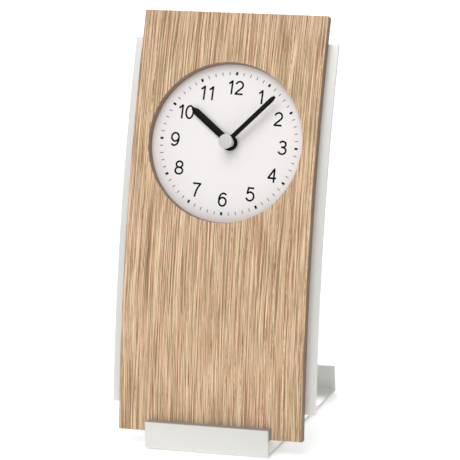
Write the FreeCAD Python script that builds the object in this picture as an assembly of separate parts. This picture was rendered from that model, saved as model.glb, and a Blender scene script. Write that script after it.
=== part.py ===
"""Mantel clock: a bowed wooden front on an aluminium plate, in a bent metal foot, with a quartz movement.

Millimetres. +Z is up and the dial faces -Y. The origin is the middle of the foot on the surface it stands on.
Pieces of the dial and the movement are drawn in a local frame and then leaned back onto the panel: there
x runs right, z runs up along the panel, y runs to the rear, and y = 0 is the face of the dial.
"""
import FreeCAD, Part
import math
import os

from FreeCAD import Vector

os.makedirs("parts", exist_ok=True)

# Foot: one bent strip with a front lip and a rear flange, on four felt pads
foot_length = 127.0
foot_width = 74.0
foot_sheet = 1.5
lip_height = 15.5
lip_lean = math.radians(5.7)
spacer_drop = 0.2
flange_height = 16.0
bend_radius = 0.6
pad_thickness = 0.6
pad_radius = 4.0
pad_inset = 8.0

# Bowed front: wood on an aluminium plate, both on arcs about one line behind the clock
bow_radius = 800.0
panel_lean = math.radians(8.64)
panel_length = 242.0
panel_width = 110.0
wood_thickness = 6.0
wood_edge_round = 0.4
panel_setback = 6.2
panel_lift = 8.8
plate_width = 122.0
plate_thickness = 2.0
plate_low = 15.0
plate_high = 227.0

# Dial. The shaft that carries the hands stands a little right of the middle of the opening
dial_station = 167.2
dial_x = 0.6
opening_radius = 46.0
dial_radius = 45.7
dial_thickness = 0.4
shaft_station = 167.3
shaft_x = 2.25
shaft_hole_radius = 4.0

# Strut behind the panel
strut_width = 40.0
strut_foot_rear = 26.0
strut_foot_front = 6.0
strut_top_low = 66.0
strut_top_high = 84.0
strut_screw_station = 77.0
strut_hole_y = 18.0
countersink_height = 1.3
countersunk_length = 6.2
driver_slot_length = 4.0
driver_slot_width = 0.8
driver_slot_depth = 0.7
nut_across_corners = 6.35
nut_height = 2.4
foot_hole_length = 10.0
top_hole_reach = 4.0

# Screws, washers and the threads they cut
m3_radius = 1.45
m3_clearance = 1.6
m3_head_radius = 2.75
m3_head_height = 1.9
head_round = 0.7
recess_reach = 1.5
recess_half_width = 0.35
recess_depth = 0.9
shank_chamfer = 0.4
wood_screw_radius = 1.2
washer_radius = 3.2
washer_thickness = 0.5
lip_screw_x = 28.0
lip_screw_station = 3.4
lip_thread_depth = 3.5
lip_hole_depth = 3.3
strut_thread_depth = 3.0
strut_screw_x = 12.0
panel_screw_x = 45.0
panel_screw_stations = (30.0, 105.0, 218.0)
panel_thread_depth = 3.8
panel_pilot_depth = 4.0
strut_pilot_depth = 3.5
movement_screw_length = 4.4

# Hands, measured from the dial face to each front face. The tips narrow over the last part of a width
hour_hand_front = 1.5
minute_hand_front = 6.5
cap_front = 9.5
hand_thickness = 0.5
hour_hand_length = 30.6
hour_hand_width = 4.0
hour_hub_radius = 4.5
hour_hand_angle = 308.1
minute_hand_length = 37.7
minute_hand_width = 2.7
minute_hub_radius = 2.6
minute_hand_angle = 44.2
tip_taper = 0.8
tip_share = 0.45
cap_radius = 4.15
cap_thickness = 1.4
cap_round = 0.35
cap_neck_radius = 2.2
cap_bore_front = -8.4
arbor_front = -8.3
arbor_end_radius = 1.25
arbor_tube_radius = 1.7
arbor_flange_radius = 2.2
arbor_flange_front = 11.2
arbor_rear = 11.7
arbor_bore_front = 8.5
hour_tube_radius = 2.55
hour_tube_front = -1.9
hour_shoulder_radius = 3.5
hour_shoulder_front = 4.4

# Movement case: a tray that opens to the rear, with depths from the dial face
case_half = 28.0
case_corner = 2.0
case_rim_round = 0.5
case_wall = 1.2
case_front = 3.1
case_rear = 19.1
bay_roof = -10.6
pillar_radius = 2.2
pillar_foot_radius = 3.0
pillars = ((-23.5, 23.5), (23.5, 23.5), (-23.5, -7.5))
ear_x = 32.0
ear_end = 36.0
ear_half_height = 5.0
ear_front = 2.45
ear_rear = 5.1
ear_hole_radius = 1.4
collar_radius = 3.9
collar_front = -0.2
pivot_hole_front = 3.6
notch_inner = 25.6
notch_front = 12.5
gasket_radius = 11.0
gasket_front = 2.5
cover_gap = 0.1
cover_hole_radius = 1.1
cover_pivot_floor = 0.4
cover_screw_radius = 0.85
cover_screw_length = 7.0
cover_head_radius = 1.8
cover_head_height = 1.1
slot_half_width = 0.22
mid_plate_front = 8.8
mid_plate_rear = 9.8
mid_plate_half = 26.5
mid_plate_low = -10.3

# Stepping motor: stator, coil on its core, and the posts that carry them
motor_z = 22.3
motor_posts = (-18.2, 0.2)
motor_post_radius = 1.6
stator_front = 11.7
stator_rear = 12.7
stator_bore = 2.9
stator_hole_radius = 0.7
stator_outline = (
    (-20.0, 24.3), (-20.0, 7.7), (-8.8, 7.7), (-8.8, 14.2), (2.0, 14.2), (2.0, 24.3),
    (-1.7, 24.3), (-1.7, 17.5), (-16.3, 17.5), (-16.3, 24.3),
)
stator_screw_radius = 0.6
stator_screw_length = 4.9
stator_head_radius = 1.3
stator_head_height = 0.9
core_low_x = -20.0
core_high_x = 2.0
core_half_height = 1.5
core_rear = 14.1
coil_low_x = -16.0
coil_high_x = -2.0
coil_depth = 13.4
cheek_thickness = 0.6
cheek_radius = 3.4
winding_radius = 3.2
sleeve_radius = 2.1
sleeve_bore = 1.68

# Circuit board with the driver under a blob of resin, and the quartz in its can
board_front = 12.0
board_rear = 12.8
board_low_x = 4.0
board_high_x = 20.3
board_low_z = 17.5
board_high_z = 26.4
board_posts = ((5.5, 25.0), (18.5, 25.0))
board_post_radius = 1.1
chip_x = 9.5
chip_curve_radius = 4.0
chip_height = 0.8
crystal_x = 13.2
crystal_z = 20.0
crystal_radius = 1.0
crystal_length = 6.0
crystal_round = 0.25

# Battery and its two contacts
battery_radius = 7.1
battery_low_x = -25.3
battery_length = 49.5
battery_depth = 11.6
battery_z = -19.3
battery_round = 0.6
battery_nub_radius = 2.75
battery_nub_height = 1.0
contact_thickness = 0.4
contact_front = 6.0
contact_rear = 17.0
contact_low_z = -24.0
contact_high_z = -15.0
tab_front = 13.0
tab_rear = 15.5
tab_high_z = 12.0
button_radius = 2.0
button_height = 1.0
spring_wide_radius = 3.2
spring_narrow_radius = 1.6
spring_height = 0.8

# Wheels: teeth and modules. Wheels on one pair of axes share their centre distance.
cannon_teeth = 12
motion_teeth = 36
motion_pinion_teeth = 10
hour_teeth = 40
setting_teeth = 12
motion_distance = 9.6
setting_module = 2 * motion_distance / (cannon_teeth + motion_teeth)
hour_module = 2 * motion_distance / (motion_pinion_teeth + hour_teeth)
third_teeth = 60
third_pinion_teeth = 8
centre_teeth = 64
seconds_pinion_teeth = 8
third_distance = 10.2
third_module = 2 * third_distance / (seconds_pinion_teeth + third_teeth)
centre_module = 2 * third_distance / (third_pinion_teeth + centre_teeth)
seconds_teeth = 60
step_pinion_teeth = 10
step_teeth = 60
rotor_pinion_teeth = 12
step_distance = 10.5
rotor_distance = 7.2
seconds_module = 2 * step_distance / (seconds_teeth + step_pinion_teeth)
step_module = 2 * rotor_distance / (step_teeth + rotor_pinion_teeth)

# Depths of the front and rear faces of each wheel and pinion
motion_pinion_depths = (4.6, 6.6)
hour_wheel_depths = (5.0, 6.2)
cannon_depths = (6.9, 8.1)
motion_wheel_depths = (7.0, 8.0)
third_pinion_depths = (10.1, 11.2)
centre_wheel_depths = (10.2, 10.9)
clutch_depths = (10.98, 11.18)
magnet_depths = (11.0, 13.4)
seconds_pinion_depths = (12.1, 13.1)
third_wheel_depths = (12.3, 12.9)
step_pinion_depths = (14.1, 14.95)
seconds_wheel_depths = (14.2, 14.8)
rotor_pinion_depths = (15.8, 16.7)
step_wheel_depths = (15.9, 16.5)

# Arbors, shafts and the setting knob
wheel_arbor_radius = 0.6
wheel_arbor_front = 10.0
wheel_arbor_rear = 17.7
wheel_pivot_front = 9.0
wheel_pivot_rear = 18.5
seconds_arbor_radius = 0.7
seconds_arbor_front = 12.0
seconds_pivot_front = 8.7
clutch_radius = 3.2
magnet_radius = 2.2
stud_front = 3.7
motion_stud_radius = 0.5
motion_stud_rear = 9.6
motion_boss_radius = 1.4
motion_boss_rear = 8.6
setting_stud_radius = 0.6
setting_shaft_radius = 1.5
setting_end_radius = 1.2
setting_end_rear = 20.8
knob_radius = 5.5
knob_front = 19.3
knob_rear = 21.5
knob_grips = 20
grip_radius = 0.35

# Directions of the axes about the centre, in degrees from +x towards +z
motion_bearing = 0.0
setting_bearing = -25.0
third_bearing = 35.0
step_bearing = 125.0
rotor_bearing = 150.0

# Running clearance of pivots and tubes, and the gap left under a flat head on the bowed plate
running = 0.05
seat_gap = 0.03
pivot_radius = 0.4

# Bearing of one tooth on the gear that each train is laid out from
first_tooth = 0.0

# How far a cutting tool reaches past the piece it cuts, and the slack for finding edges by their place
beyond = 1.0
through = 20.0
near = 0.01

# Derived places
foot_front_y = -foot_length / 2
foot_underside = pad_thickness
foot_top = pad_thickness + foot_sheet
bow_y = foot_front_y + panel_setback + bow_radius * math.cos(panel_lean)
bow_z = foot_underside + panel_lift - bow_radius * math.sin(panel_lean)
dial_depth = wood_thickness - dial_thickness
case_inner = case_half - case_wall
up = Vector(0, 0, 1)
case_floor = case_front + case_wall


# ---------------------------------------------------------------- geometry helpers

def write(shape, node):
    shape.exportStep("parts/" + node + ".step")


def panel_point(station, depth):
    """A point of the bowed panel in the plane x = 0: arc length up its front face, depth behind that face."""
    angle = panel_lean + station / bow_radius
    radius = bow_radius - depth
    return Vector(0, bow_y - radius * math.cos(angle), bow_z + radius * math.sin(angle))


def on_panel(shape, x, station, depth):
    """Lean a local shape onto the panel, its origin at the given place."""
    angle = math.degrees(panel_lean + station / bow_radius)
    placed = shape.copy()
    placed.rotate(Vector(0, 0, 0), Vector(1, 0, 0), -angle)
    placed.translate(panel_point(station, depth) + Vector(x, 0, 0))
    return placed


def on_shaft(shape):
    """Lean a piece of the movement onto the panel, about the shaft that carries the hands."""
    return on_panel(shape, shaft_x, shaft_station, dial_depth)


def rod(radius, start, end, x=0.0, z=0.0):
    return Part.makeCylinder(radius, end - start, Vector(x, start, z), Vector(0, 1, 0))


def tube(outer, inner, start, end, x=0.0, z=0.0):
    return rod(outer, start, end, x, z).cut(rod(inner, start - beyond, end + beyond, x, z))


def block(x_low, x_high, y_low, y_high, z_low, z_high):
    return Part.makeBox(x_high - x_low, y_high - y_low, z_high - z_low, Vector(x_low, y_low, z_low))


def slab(points, start, end):
    """A plate between two depths with a straight-sided outline in x and z."""
    corners = [Vector(x, start, z) for x, z in points]
    face = Part.Face(Part.makePolygon(corners + corners[:1]))
    return face.extrude(Vector(0, end - start, 0))


def fuse_all(shapes):
    return shapes[0].multiFuse(shapes[1:]).removeSplitter()


def rounded_wire(corners, radii):
    """A closed wire through the corners, with an arc of the given radius at each."""
    count = len(corners)
    edges = []
    ends = []
    for index in range(count):
        here = corners[index]
        back = (corners[index - 1] - here).normalize()
        ahead = (corners[(index + 1) % count] - here).normalize()
        half = back.getAngle(ahead) / 2
        reach = radii[index] / math.tan(half)
        start = here + back * reach
        end = here + ahead * reach
        if radii[index] > 0:
            bisector = (back + ahead).normalize()
            middle = here + bisector * (radii[index] / math.sin(half) - radii[index])
            edges.append(Part.Arc(start, middle, end).toShape())
        ends.append((start, end))
    for index in range(count):
        start = ends[index][1]
        end = ends[(index + 1) % count][0]
        edges.append(Part.makeLine(start, end))
    return Part.Wire(Part.__sortEdges__(edges))


def bent_sheet(path, side, width):
    """A bent strip. The path runs along its outer face in y and z, side is +1 for metal on the left of it."""
    points = [Vector(0, y, z) for y, z in path]
    normals = []
    for start, end in zip(points, points[1:]):
        run = (end - start).normalize()
        normals.append(Vector(0, -run.z, run.y) * side)
    inner = [points[0] + normals[0] * foot_sheet]
    for index in range(1, len(points) - 1):
        bisector = (normals[index - 1] + normals[index]).normalize()
        inner.append(points[index] + bisector * (foot_sheet / bisector.dot(normals[index])))
    inner.append(points[-1] + normals[-1] * foot_sheet)
    bends = len(points) - 2
    radii = [0.0] + [bend_radius + foot_sheet] * bends + [0.0, 0.0] + [bend_radius] * bends + [0.0]
    face = Part.Face(rounded_wire(points + inner[::-1], radii))
    face.translate(Vector(-width / 2, 0, 0))
    return face.extrude(Vector(width, 0, 0))


def bowed_sheet(station_low, station_high, depth_front, depth_rear, width):
    """A slab between two arcs of the bowed panel."""
    middle = (station_low + station_high) / 2
    front = [panel_point(s, depth_front) for s in (station_low, middle, station_high)]
    rear = [panel_point(s, depth_rear) for s in (station_high, middle, station_low)]
    edges = [
        Part.Arc(*front).toShape(),
        Part.makeLine(front[2], rear[0]),
        Part.Arc(*rear).toShape(),
        Part.makeLine(rear[2], front[0]),
    ]
    face = Part.Face(Part.Wire(edges))
    face.translate(Vector(-width / 2, 0, 0))
    return face.extrude(Vector(width, 0, 0))


def pan_screw(shank_radius, shank_length):
    """A cross-recessed pan-head screw: the head stands behind y = 0 and the shank runs forward."""
    head = rod(m3_head_radius, 0, m3_head_height)
    crown = [edge for edge in head.Edges if edge.BoundBox.YMin > m3_head_height - near]
    head = head.makeFillet(head_round, crown)
    start = m3_head_height - recess_depth
    end = m3_head_height + beyond
    level = block(-recess_reach, recess_reach, start, end, -recess_half_width, recess_half_width)
    upright = block(-recess_half_width, recess_half_width, start, end, -recess_reach, recess_reach)
    shank = rod(shank_radius, -shank_length, 0)
    tip = [edge for edge in shank.Edges if edge.BoundBox.YMax < near - shank_length]
    return head.cut(level.fuse(upright)).fuse(shank.makeChamfer(shank_chamfer, tip)).removeSplitter()


def slotted_screw(head_radius, head_height, shank_radius, shank_length, seat):
    """A small slotted screw: the head stands behind its seat and the shank runs forward of it."""
    start = seat + seat_gap
    head = rod(head_radius, start, seat + head_height)
    cut = seat + head_height / 2
    slot = block(-head_radius, head_radius, cut, cut + head_height, -slot_half_width, slot_half_width)
    return head.cut(slot).fuse(rod(shank_radius, seat - shank_length, start + near))


# ---------------------------------------------------------------- gears

def gear(teeth, module, phase, depths, axis):
    """A spur gear with straight-flanked teeth and generous backlash; phase is the bearing of one tooth."""
    pitch_angle = 2 * math.pi / teeth
    root = module * (teeth / 2 - 1.15)
    tip = module * (teeth / 2 + 0.75)
    root_share = 0.27
    tip_share = 0.09
    points = []
    for index in range(teeth):
        centre = phase + index * pitch_angle
        for radius, share in ((root, -root_share), (tip, -tip_share), (tip, tip_share), (root, root_share)):
            angle = centre + share * pitch_angle
            points.append((axis[0] + radius * math.cos(angle), axis[1] + radius * math.sin(angle)))
    return slab(points, *depths)


def mesh_phase(bearing, phase, teeth, next_teeth):
    """The phase that puts the next gear, which lies on this bearing, in mesh with one of known phase."""
    return bearing + math.pi + ((bearing - phase) * teeth - math.pi) / next_teeth


def axis_from(start, distance, bearing):
    angle = math.radians(bearing)
    return (start[0] + distance * math.cos(angle), start[1] + distance * math.sin(angle))


centre_axis = (0.0, 0.0)
motion_axis = axis_from(centre_axis, motion_distance, motion_bearing)
setting_axis = axis_from(motion_axis, motion_distance, setting_bearing)
third_axis = axis_from(centre_axis, third_distance, third_bearing)
step_axis = axis_from(centre_axis, step_distance, step_bearing)
rotor_axis = axis_from(step_axis, rotor_distance, rotor_bearing)


# ---------------------------------------------------------------- foot

def foot_bracket():
    lip_top = (foot_front_y + lip_height * math.tan(lip_lean), foot_underside + lip_height)
    path = [
        lip_top,
        (foot_front_y, foot_underside),
        (-foot_front_y, foot_underside),
        (-foot_front_y, foot_underside + flange_height),
    ]
    strip = bent_sheet(path, 1, foot_width)
    for x in (-strut_screw_x, strut_screw_x):
        strip = strip.cut(countersunk_form(x, m3_radius + running, m3_head_radius + running))
    return strip


def countersunk_form(x, shank_radius, head_radius):
    """The cone and shank of a countersunk screw that comes up through the foot."""
    base = Vector(x, strut_hole_y, foot_underside)
    cone = Part.makeCone(head_radius, shank_radius, countersink_height, base, up)
    shank = Part.makeCylinder(shank_radius, countersunk_length, base, up)
    return cone.fuse(shank)


def foot_pads():
    pads = []
    for x in (-foot_width / 2 + pad_inset, foot_width / 2 - pad_inset):
        for y in (foot_front_y + pad_inset, -foot_front_y - pad_inset):
            pads.append(Part.makeCylinder(pad_radius, pad_thickness, Vector(x, y, 0), up))
    return Part.makeCompound(pads)


def lip_spacer():
    """The grey bar between the lip and the wood. Its rear face follows the bow of the wood."""
    run = Vector(0, math.sin(lip_lean), math.cos(lip_lean))
    inner_y = foot_front_y + foot_sheet * math.cos(lip_lean)
    inner_z = foot_underside - foot_sheet * math.sin(lip_lean)
    inner = Vector(0, inner_y, inner_z)
    high_z = foot_underside + lip_height - spacer_drop
    station = bow_radius * (math.asin((high_z - bow_z) / bow_radius) - panel_lean)
    low = panel_point(0, 0)
    high = panel_point(station, 0)
    front_high = inner + run * ((high.z - inner.z) / run.z)
    front_low = inner + run * ((low.z - inner.z) / run.z)
    edges = [
        Part.makeLine(front_low, front_high),
        Part.makeLine(front_high, high),
        Part.Arc(high, panel_point(station / 2, 0), low).toShape(),
        Part.makeLine(low, front_low),
    ]
    face = Part.Face(Part.Wire(edges))
    face.translate(Vector(-foot_width / 2, 0, 0))
    bar = face.extrude(Vector(foot_width, 0, 0))
    for x in (-lip_screw_x, lip_screw_x):
        hole = rod(m3_radius, -lip_hole_depth, beyond)
        bar = bar.cut(on_panel(hole, x, lip_screw_station, 0))
    return bar


def lip_screws():
    screw = pan_screw(m3_radius, wood_thickness + lip_thread_depth)
    depth = wood_thickness + washer_thickness + 2 * seat_gap
    places = (-lip_screw_x, lip_screw_x)
    return Part.makeCompound([on_panel(screw, x, lip_screw_station, depth) for x in places])


def lip_washers():
    washer = tube(washer_radius, m3_clearance, seat_gap, washer_thickness + seat_gap)
    places = (-lip_screw_x, lip_screw_x)
    return Part.makeCompound([on_panel(washer, x, lip_screw_station, wood_thickness) for x in places])


# ---------------------------------------------------------------- panel

def wood_panel():
    board = bowed_sheet(0, panel_length, 0, wood_thickness, panel_width)
    board = board.makeFillet(wood_edge_round, board.Edges)
    board = board.cut(on_panel(rod(opening_radius, -through, through), dial_x, dial_station, 0))
    for x in (-lip_screw_x, lip_screw_x):
        board = board.cut(on_panel(rod(m3_clearance, -through, through), x, lip_screw_station, 0))
    for x, station in panel_screw_places():
        pilot = rod(wood_screw_radius, -panel_pilot_depth, beyond)
        board = board.cut(on_panel(pilot, x, station, wood_thickness))
    for x in (-strut_screw_x, strut_screw_x):
        pilot = rod(m3_radius, -strut_pilot_depth, beyond)
        board = board.cut(on_panel(pilot, x, strut_screw_station, wood_thickness))
    return board


def back_plate():
    rear = wood_thickness + plate_thickness
    sheet = bowed_sheet(plate_low, plate_high, wood_thickness, rear, plate_width)
    holes = [(shaft_x, shaft_station, shaft_hole_radius)]
    holes += [(x, station, wood_screw_radius + running) for x, station in panel_screw_places()]
    holes += [(x, strut_screw_station, m3_radius) for x in (-strut_screw_x, strut_screw_x)]
    holes += [(shaft_x + x, shaft_station, wood_screw_radius) for x in (-ear_x, ear_x)]
    for x, station, radius in holes:
        sheet = sheet.cut(on_panel(rod(radius, -through, through), x, station, wood_thickness))
    return sheet


def panel_screw_places():
    return [(x, station) for x in (-panel_screw_x, panel_screw_x) for station in panel_screw_stations]


def panel_screws():
    screw = pan_screw(wood_screw_radius, plate_thickness + panel_thread_depth)
    depth = wood_thickness + plate_thickness + seat_gap
    return Part.makeCompound([on_panel(screw, x, station, depth) for x, station in panel_screw_places()])


def dial_disc():
    low = dial_station - dial_radius - beyond
    high = dial_station + dial_radius + beyond
    sheet = bowed_sheet(low, high, dial_depth, wood_thickness, plate_width)
    disc = sheet.common(on_panel(rod(dial_radius, -through, through), dial_x, dial_station, 0))
    return disc.cut(on_panel(rod(shaft_hole_radius, -through, through), shaft_x, shaft_station, 0))


# ---------------------------------------------------------------- strut

def strut():
    rear = wood_thickness + plate_thickness + 2 * seat_gap
    low = panel_point(strut_top_low, rear)
    high = panel_point(strut_top_high, rear)
    path = [(strut_foot_rear, foot_top), (strut_foot_front, foot_top), (low.y, low.z), (high.y, high.z)]
    strip = bent_sheet(path, -1, strut_width)
    for x in (-strut_screw_x, strut_screw_x):
        strip = strip.cut(Part.makeCylinder(m3_clearance, foot_hole_length, Vector(x, strut_hole_y, 0), up))
        top_hole = rod(m3_clearance, -top_hole_reach, top_hole_reach)
        strip = strip.cut(on_panel(top_hole, x, strut_screw_station, rear))
    return strip


def strut_foot_screws():
    screws = []
    for x in (-strut_screw_x, strut_screw_x):
        screw = countersunk_form(x, m3_radius, m3_head_radius)
        corner = Vector(x - driver_slot_length / 2, strut_hole_y - driver_slot_width / 2, foot_underside)
        slot = Part.makeBox(driver_slot_length, driver_slot_width, driver_slot_depth, corner)
        screws.append(screw.cut(slot))
    return Part.makeCompound(screws)


def strut_foot_nuts():
    nuts = []
    for x in (-strut_screw_x, strut_screw_x):
        corners = []
        centre = Vector(x, strut_hole_y, foot_top + foot_sheet)
        for index in range(7):
            angle = index * math.pi / 3
            corners.append(centre + Vector(math.cos(angle), math.sin(angle), 0) * (nut_across_corners / 2))
        nut = Part.Face(Part.makePolygon(corners)).extrude(up * nut_height)
        bore = Part.makeCylinder(m3_radius, foot_hole_length, Vector(x, strut_hole_y, 0), up)
        nuts.append(nut.cut(bore))
    return Part.makeCompound(nuts)


def strut_top_screws():
    screw = pan_screw(m3_radius, foot_sheet + plate_thickness + strut_thread_depth)
    depth = wood_thickness + plate_thickness + foot_sheet + 4 * seat_gap
    places = (-strut_screw_x, strut_screw_x)
    return Part.makeCompound([on_panel(screw, x, strut_screw_station, depth) for x in places])


# ---------------------------------------------------------------- movement case

def movement_case():
    bay_wall = block(-case_inner, case_inner, case_front, case_rear, bay_roof - case_wall, bay_roof)
    pieces = [case_shell(), bay_wall]
    for x, z in pillars:
        pieces.append(rod(pillar_foot_radius, case_front, mid_plate_front, x, z))
        pieces.append(rod(pillar_radius, case_front, case_rear - case_wall, x, z))
    for side in (-1, 1):
        span = sorted((side * (case_half - beyond), side * ear_end))
        pieces.append(block(*span, ear_front, ear_rear, -ear_half_height, ear_half_height))
    pieces.append(rod(collar_radius, collar_front, case_floor))
    body = fuse_all(pieces)
    body = body.cut(rod(hour_tube_radius + running, collar_front - beyond, case_floor + beyond))
    for x in (-ear_x, ear_x):
        body = body.cut(rod(ear_hole_radius, ear_front - beyond, ear_rear + beyond, x))
    for x, z in pillars:
        body = body.cut(rod(cover_screw_radius, case_rear - cover_screw_length - beyond, case_rear, x, z))
    for (x, z), radius in ((motion_axis, motion_stud_radius), (setting_axis, setting_stud_radius)):
        body = body.cut(rod(radius + running, pivot_hole_front, case_floor + beyond, x, z))
    for side in (-1, 1):
        span = sorted((side * notch_inner, side * case_inner))
        notch = block(*span, notch_front, case_rear + beyond, bay_roof - 2 * beyond, bay_roof + beyond)
        body = body.cut(notch)
    return body


def case_shell():
    """The tray with its upright corners and its rear rim rounded."""
    outer = block(-case_half, case_half, case_front, case_rear, -case_half, case_half)
    outer = outer.makeFillet(case_corner, [edge for edge in outer.Edges if edge.BoundBox.YLength > beyond])
    rim = [edge for edge in outer.Edges if edge.BoundBox.YMin > case_rear - near]
    outer = outer.makeFillet(case_rim_round, rim)
    return outer.cut(block(-case_inner, case_inner, case_floor, case_rear + beyond, -case_inner, case_inner))


def movement_gasket():
    return tube(gasket_radius, shaft_hole_radius, gasket_front, case_front)


def movement_cover():
    edge = case_inner - cover_gap
    front = case_rear - case_wall
    lid = block(-edge, edge, front, case_rear, bay_roof + cover_gap, edge)
    for x, z in pillars:
        lid = lid.cut(rod(cover_hole_radius, front - beyond, case_rear + beyond, x, z))
    lid = lid.cut(rod(setting_shaft_radius + running, front - beyond, case_rear + beyond, *setting_axis))
    for x, z in (centre_axis, third_axis, step_axis, rotor_axis):
        lid = lid.cut(rod(pivot_radius + running, front - beyond, case_rear - cover_pivot_floor, x, z))
    return lid


def cover_screws():
    sizes = (cover_head_radius, cover_head_height, cover_screw_radius, cover_screw_length)
    screw = slotted_screw(*sizes, case_rear)
    return Part.makeCompound([screw.translated(Vector(x, 0, z)) for x, z in pillars])


def movement_screws():
    screw = pan_screw(wood_screw_radius, movement_screw_length)
    places = (-ear_x, ear_x)
    return Part.makeCompound([screw.translated(Vector(x, ear_rear, 0)) for x in places])


def mid_plate():
    """The plate across the case that carries the front pivots, with posts for the motor and the board."""
    plate = block(-mid_plate_half, mid_plate_half, mid_plate_front, mid_plate_rear, mid_plate_low, mid_plate_half)
    front = mid_plate_front - beyond
    rear = mid_plate_rear + beyond
    for x in motor_posts:
        plate = plate.fuse(rod(motor_post_radius, mid_plate_front, stator_front, x, motor_z))
        plate = plate.cut(rod(stator_screw_radius, front, stator_front + beyond, x, motor_z))
    for x, z in board_posts:
        plate = plate.fuse(rod(board_post_radius, mid_plate_front, board_front, x, z))
    for x, z in pillars:
        plate = plate.cut(rod(pillar_radius + running, front, rear, x, z))
    holes = (
        (centre_axis, arbor_tube_radius),
        (motion_axis, motion_stud_radius),
        (setting_axis, setting_shaft_radius),
        (third_axis, pivot_radius),
        (step_axis, pivot_radius),
        (rotor_axis, pivot_radius),
    )
    for (x, z), radius in holes:
        plate = plate.cut(rod(radius + running, front, rear, x, z))
    return plate


# ---------------------------------------------------------------- motor and electronics

def stator():
    plate = slab(stator_outline, stator_front, stator_rear)
    plate = plate.cut(rod(stator_bore, stator_front - beyond, stator_rear + beyond, *rotor_axis))
    for x in motor_posts:
        plate = plate.cut(rod(stator_hole_radius, stator_front - beyond, stator_rear + beyond, x, motor_z))
    return plate


def coil_core():
    low_z = motor_z - core_half_height
    high_z = motor_z + core_half_height
    core = block(core_low_x, core_high_x, stator_rear, core_rear, low_z, high_z)
    for x in motor_posts:
        core = core.cut(rod(stator_hole_radius, stator_rear - beyond, core_rear + beyond, x, motor_z))
    return core


def coil_part(outer, inner, x_low, x_high):
    """A tube on the axis of the coil, which runs from side to side."""
    sideways = Vector(1, 0, 0)
    start = Vector(x_low, coil_depth, motor_z)
    length = x_high - x_low
    solid = Part.makeCylinder(outer, length, start, sideways)
    return solid.cut(Part.makeCylinder(inner, length + 2 * beyond, start - sideways * beyond, sideways))


def coil_bobbin():
    sleeve = coil_part(sleeve_radius, sleeve_bore, coil_low_x, coil_high_x)
    low_cheek = coil_part(cheek_radius, sleeve_bore, coil_low_x, coil_low_x + cheek_thickness)
    high_cheek = coil_part(cheek_radius, sleeve_bore, coil_high_x - cheek_thickness, coil_high_x)
    return fuse_all([sleeve, low_cheek, high_cheek])


def coil_winding():
    low_x = coil_low_x + cheek_thickness
    return coil_part(winding_radius, sleeve_radius, low_x, coil_high_x - cheek_thickness)


def stator_screws():
    sizes = (stator_head_radius, stator_head_height, stator_screw_radius, stator_screw_length)
    screw = slotted_screw(*sizes, core_rear)
    return Part.makeCompound([screw.translated(Vector(x, 0, motor_z)) for x in motor_posts])


def circuit_board():
    return block(board_low_x, board_high_x, board_front, board_rear, board_low_z, board_high_z)


def driver_chip():
    centre = Vector(chip_x, board_rear + chip_height - chip_curve_radius, motor_z)
    above = block(board_low_x, board_high_x, board_rear, board_rear + through, board_low_z, board_high_z)
    return Part.makeSphere(chip_curve_radius, centre).common(above)


def quartz_crystal():
    start = Vector(crystal_x, board_rear + crystal_radius + seat_gap, crystal_z)
    can = Part.makeCylinder(crystal_radius, crystal_length, start, Vector(1, 0, 0))
    return can.makeFillet(crystal_round, [edge for edge in can.Edges if edge.BoundBox.XLength < near])


def battery_contact(side):
    """A spring-steel strip on the end wall of the bay, with a tab up past the bay's roof."""
    span = sorted((side * (case_inner - contact_thickness), side * case_inner))
    strip = block(*span, contact_front, contact_rear, contact_low_z, contact_high_z)
    return strip.fuse(block(*span, tab_front, tab_rear, contact_high_z - beyond, tab_high_z))


def contact_positive():
    start = Vector(case_inner - contact_thickness - button_height, battery_depth, battery_z)
    button = Part.makeCylinder(button_radius, button_height, start, Vector(1, 0, 0))
    return fuse_all([battery_contact(1), button])


def contact_negative():
    start = Vector(contact_thickness - case_inner, battery_depth, battery_z)
    spring = Part.makeCone(spring_wide_radius, spring_narrow_radius, spring_height, start, Vector(1, 0, 0))
    return fuse_all([battery_contact(-1), spring])


def battery():
    sideways = Vector(1, 0, 0)
    start = Vector(battery_low_x, battery_depth, battery_z)
    can = Part.makeCylinder(battery_radius, battery_length, start, sideways)
    can = can.makeFillet(battery_round, [edge for edge in can.Edges if edge.BoundBox.XLength < near])
    end = start + sideways * battery_length
    return can.fuse(Part.makeCylinder(battery_nub_radius, battery_nub_height, end, sideways))


# ---------------------------------------------------------------- hands and motion work

def hand(length, width, hub_radius, hole_radius, angle, front):
    """A flat hand with a round hub and a blunt tip."""
    half = width / 2
    tip = tip_share * half
    taper = length - tip_taper * width
    rear = hand_thickness - front
    outline = ((-half, 0), (half, 0), (half, taper), (tip, length), (-tip, length), (-half, taper))
    blade = slab(outline, -front, rear)
    blade.rotate(Vector(0, 0, 0), Vector(0, 1, 0), angle)
    solid = blade.fuse(rod(hub_radius, -front, rear)).removeSplitter()
    return solid.cut(rod(hole_radius, -front - beyond, rear + beyond))


def hour_hand():
    sizes = (hour_hand_length, hour_hand_width, hour_hub_radius, hour_tube_radius)
    return hand(*sizes, hour_hand_angle, hour_hand_front)


def minute_hand():
    sizes = (minute_hand_length, minute_hand_width, minute_hub_radius, arbor_end_radius)
    return hand(*sizes, minute_hand_angle, minute_hand_front)


def hand_cap():
    head = rod(cap_radius, -cap_front, cap_thickness - cap_front)
    head = head.makeFillet(cap_round, [edge for edge in head.Edges if edge.BoundBox.YMax < near - cap_front])
    neck = rod(cap_neck_radius, cap_thickness - cap_front, -minute_hand_front)
    return head.fuse(neck).removeSplitter().cut(rod(arbor_end_radius, cap_bore_front, 0))


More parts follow.
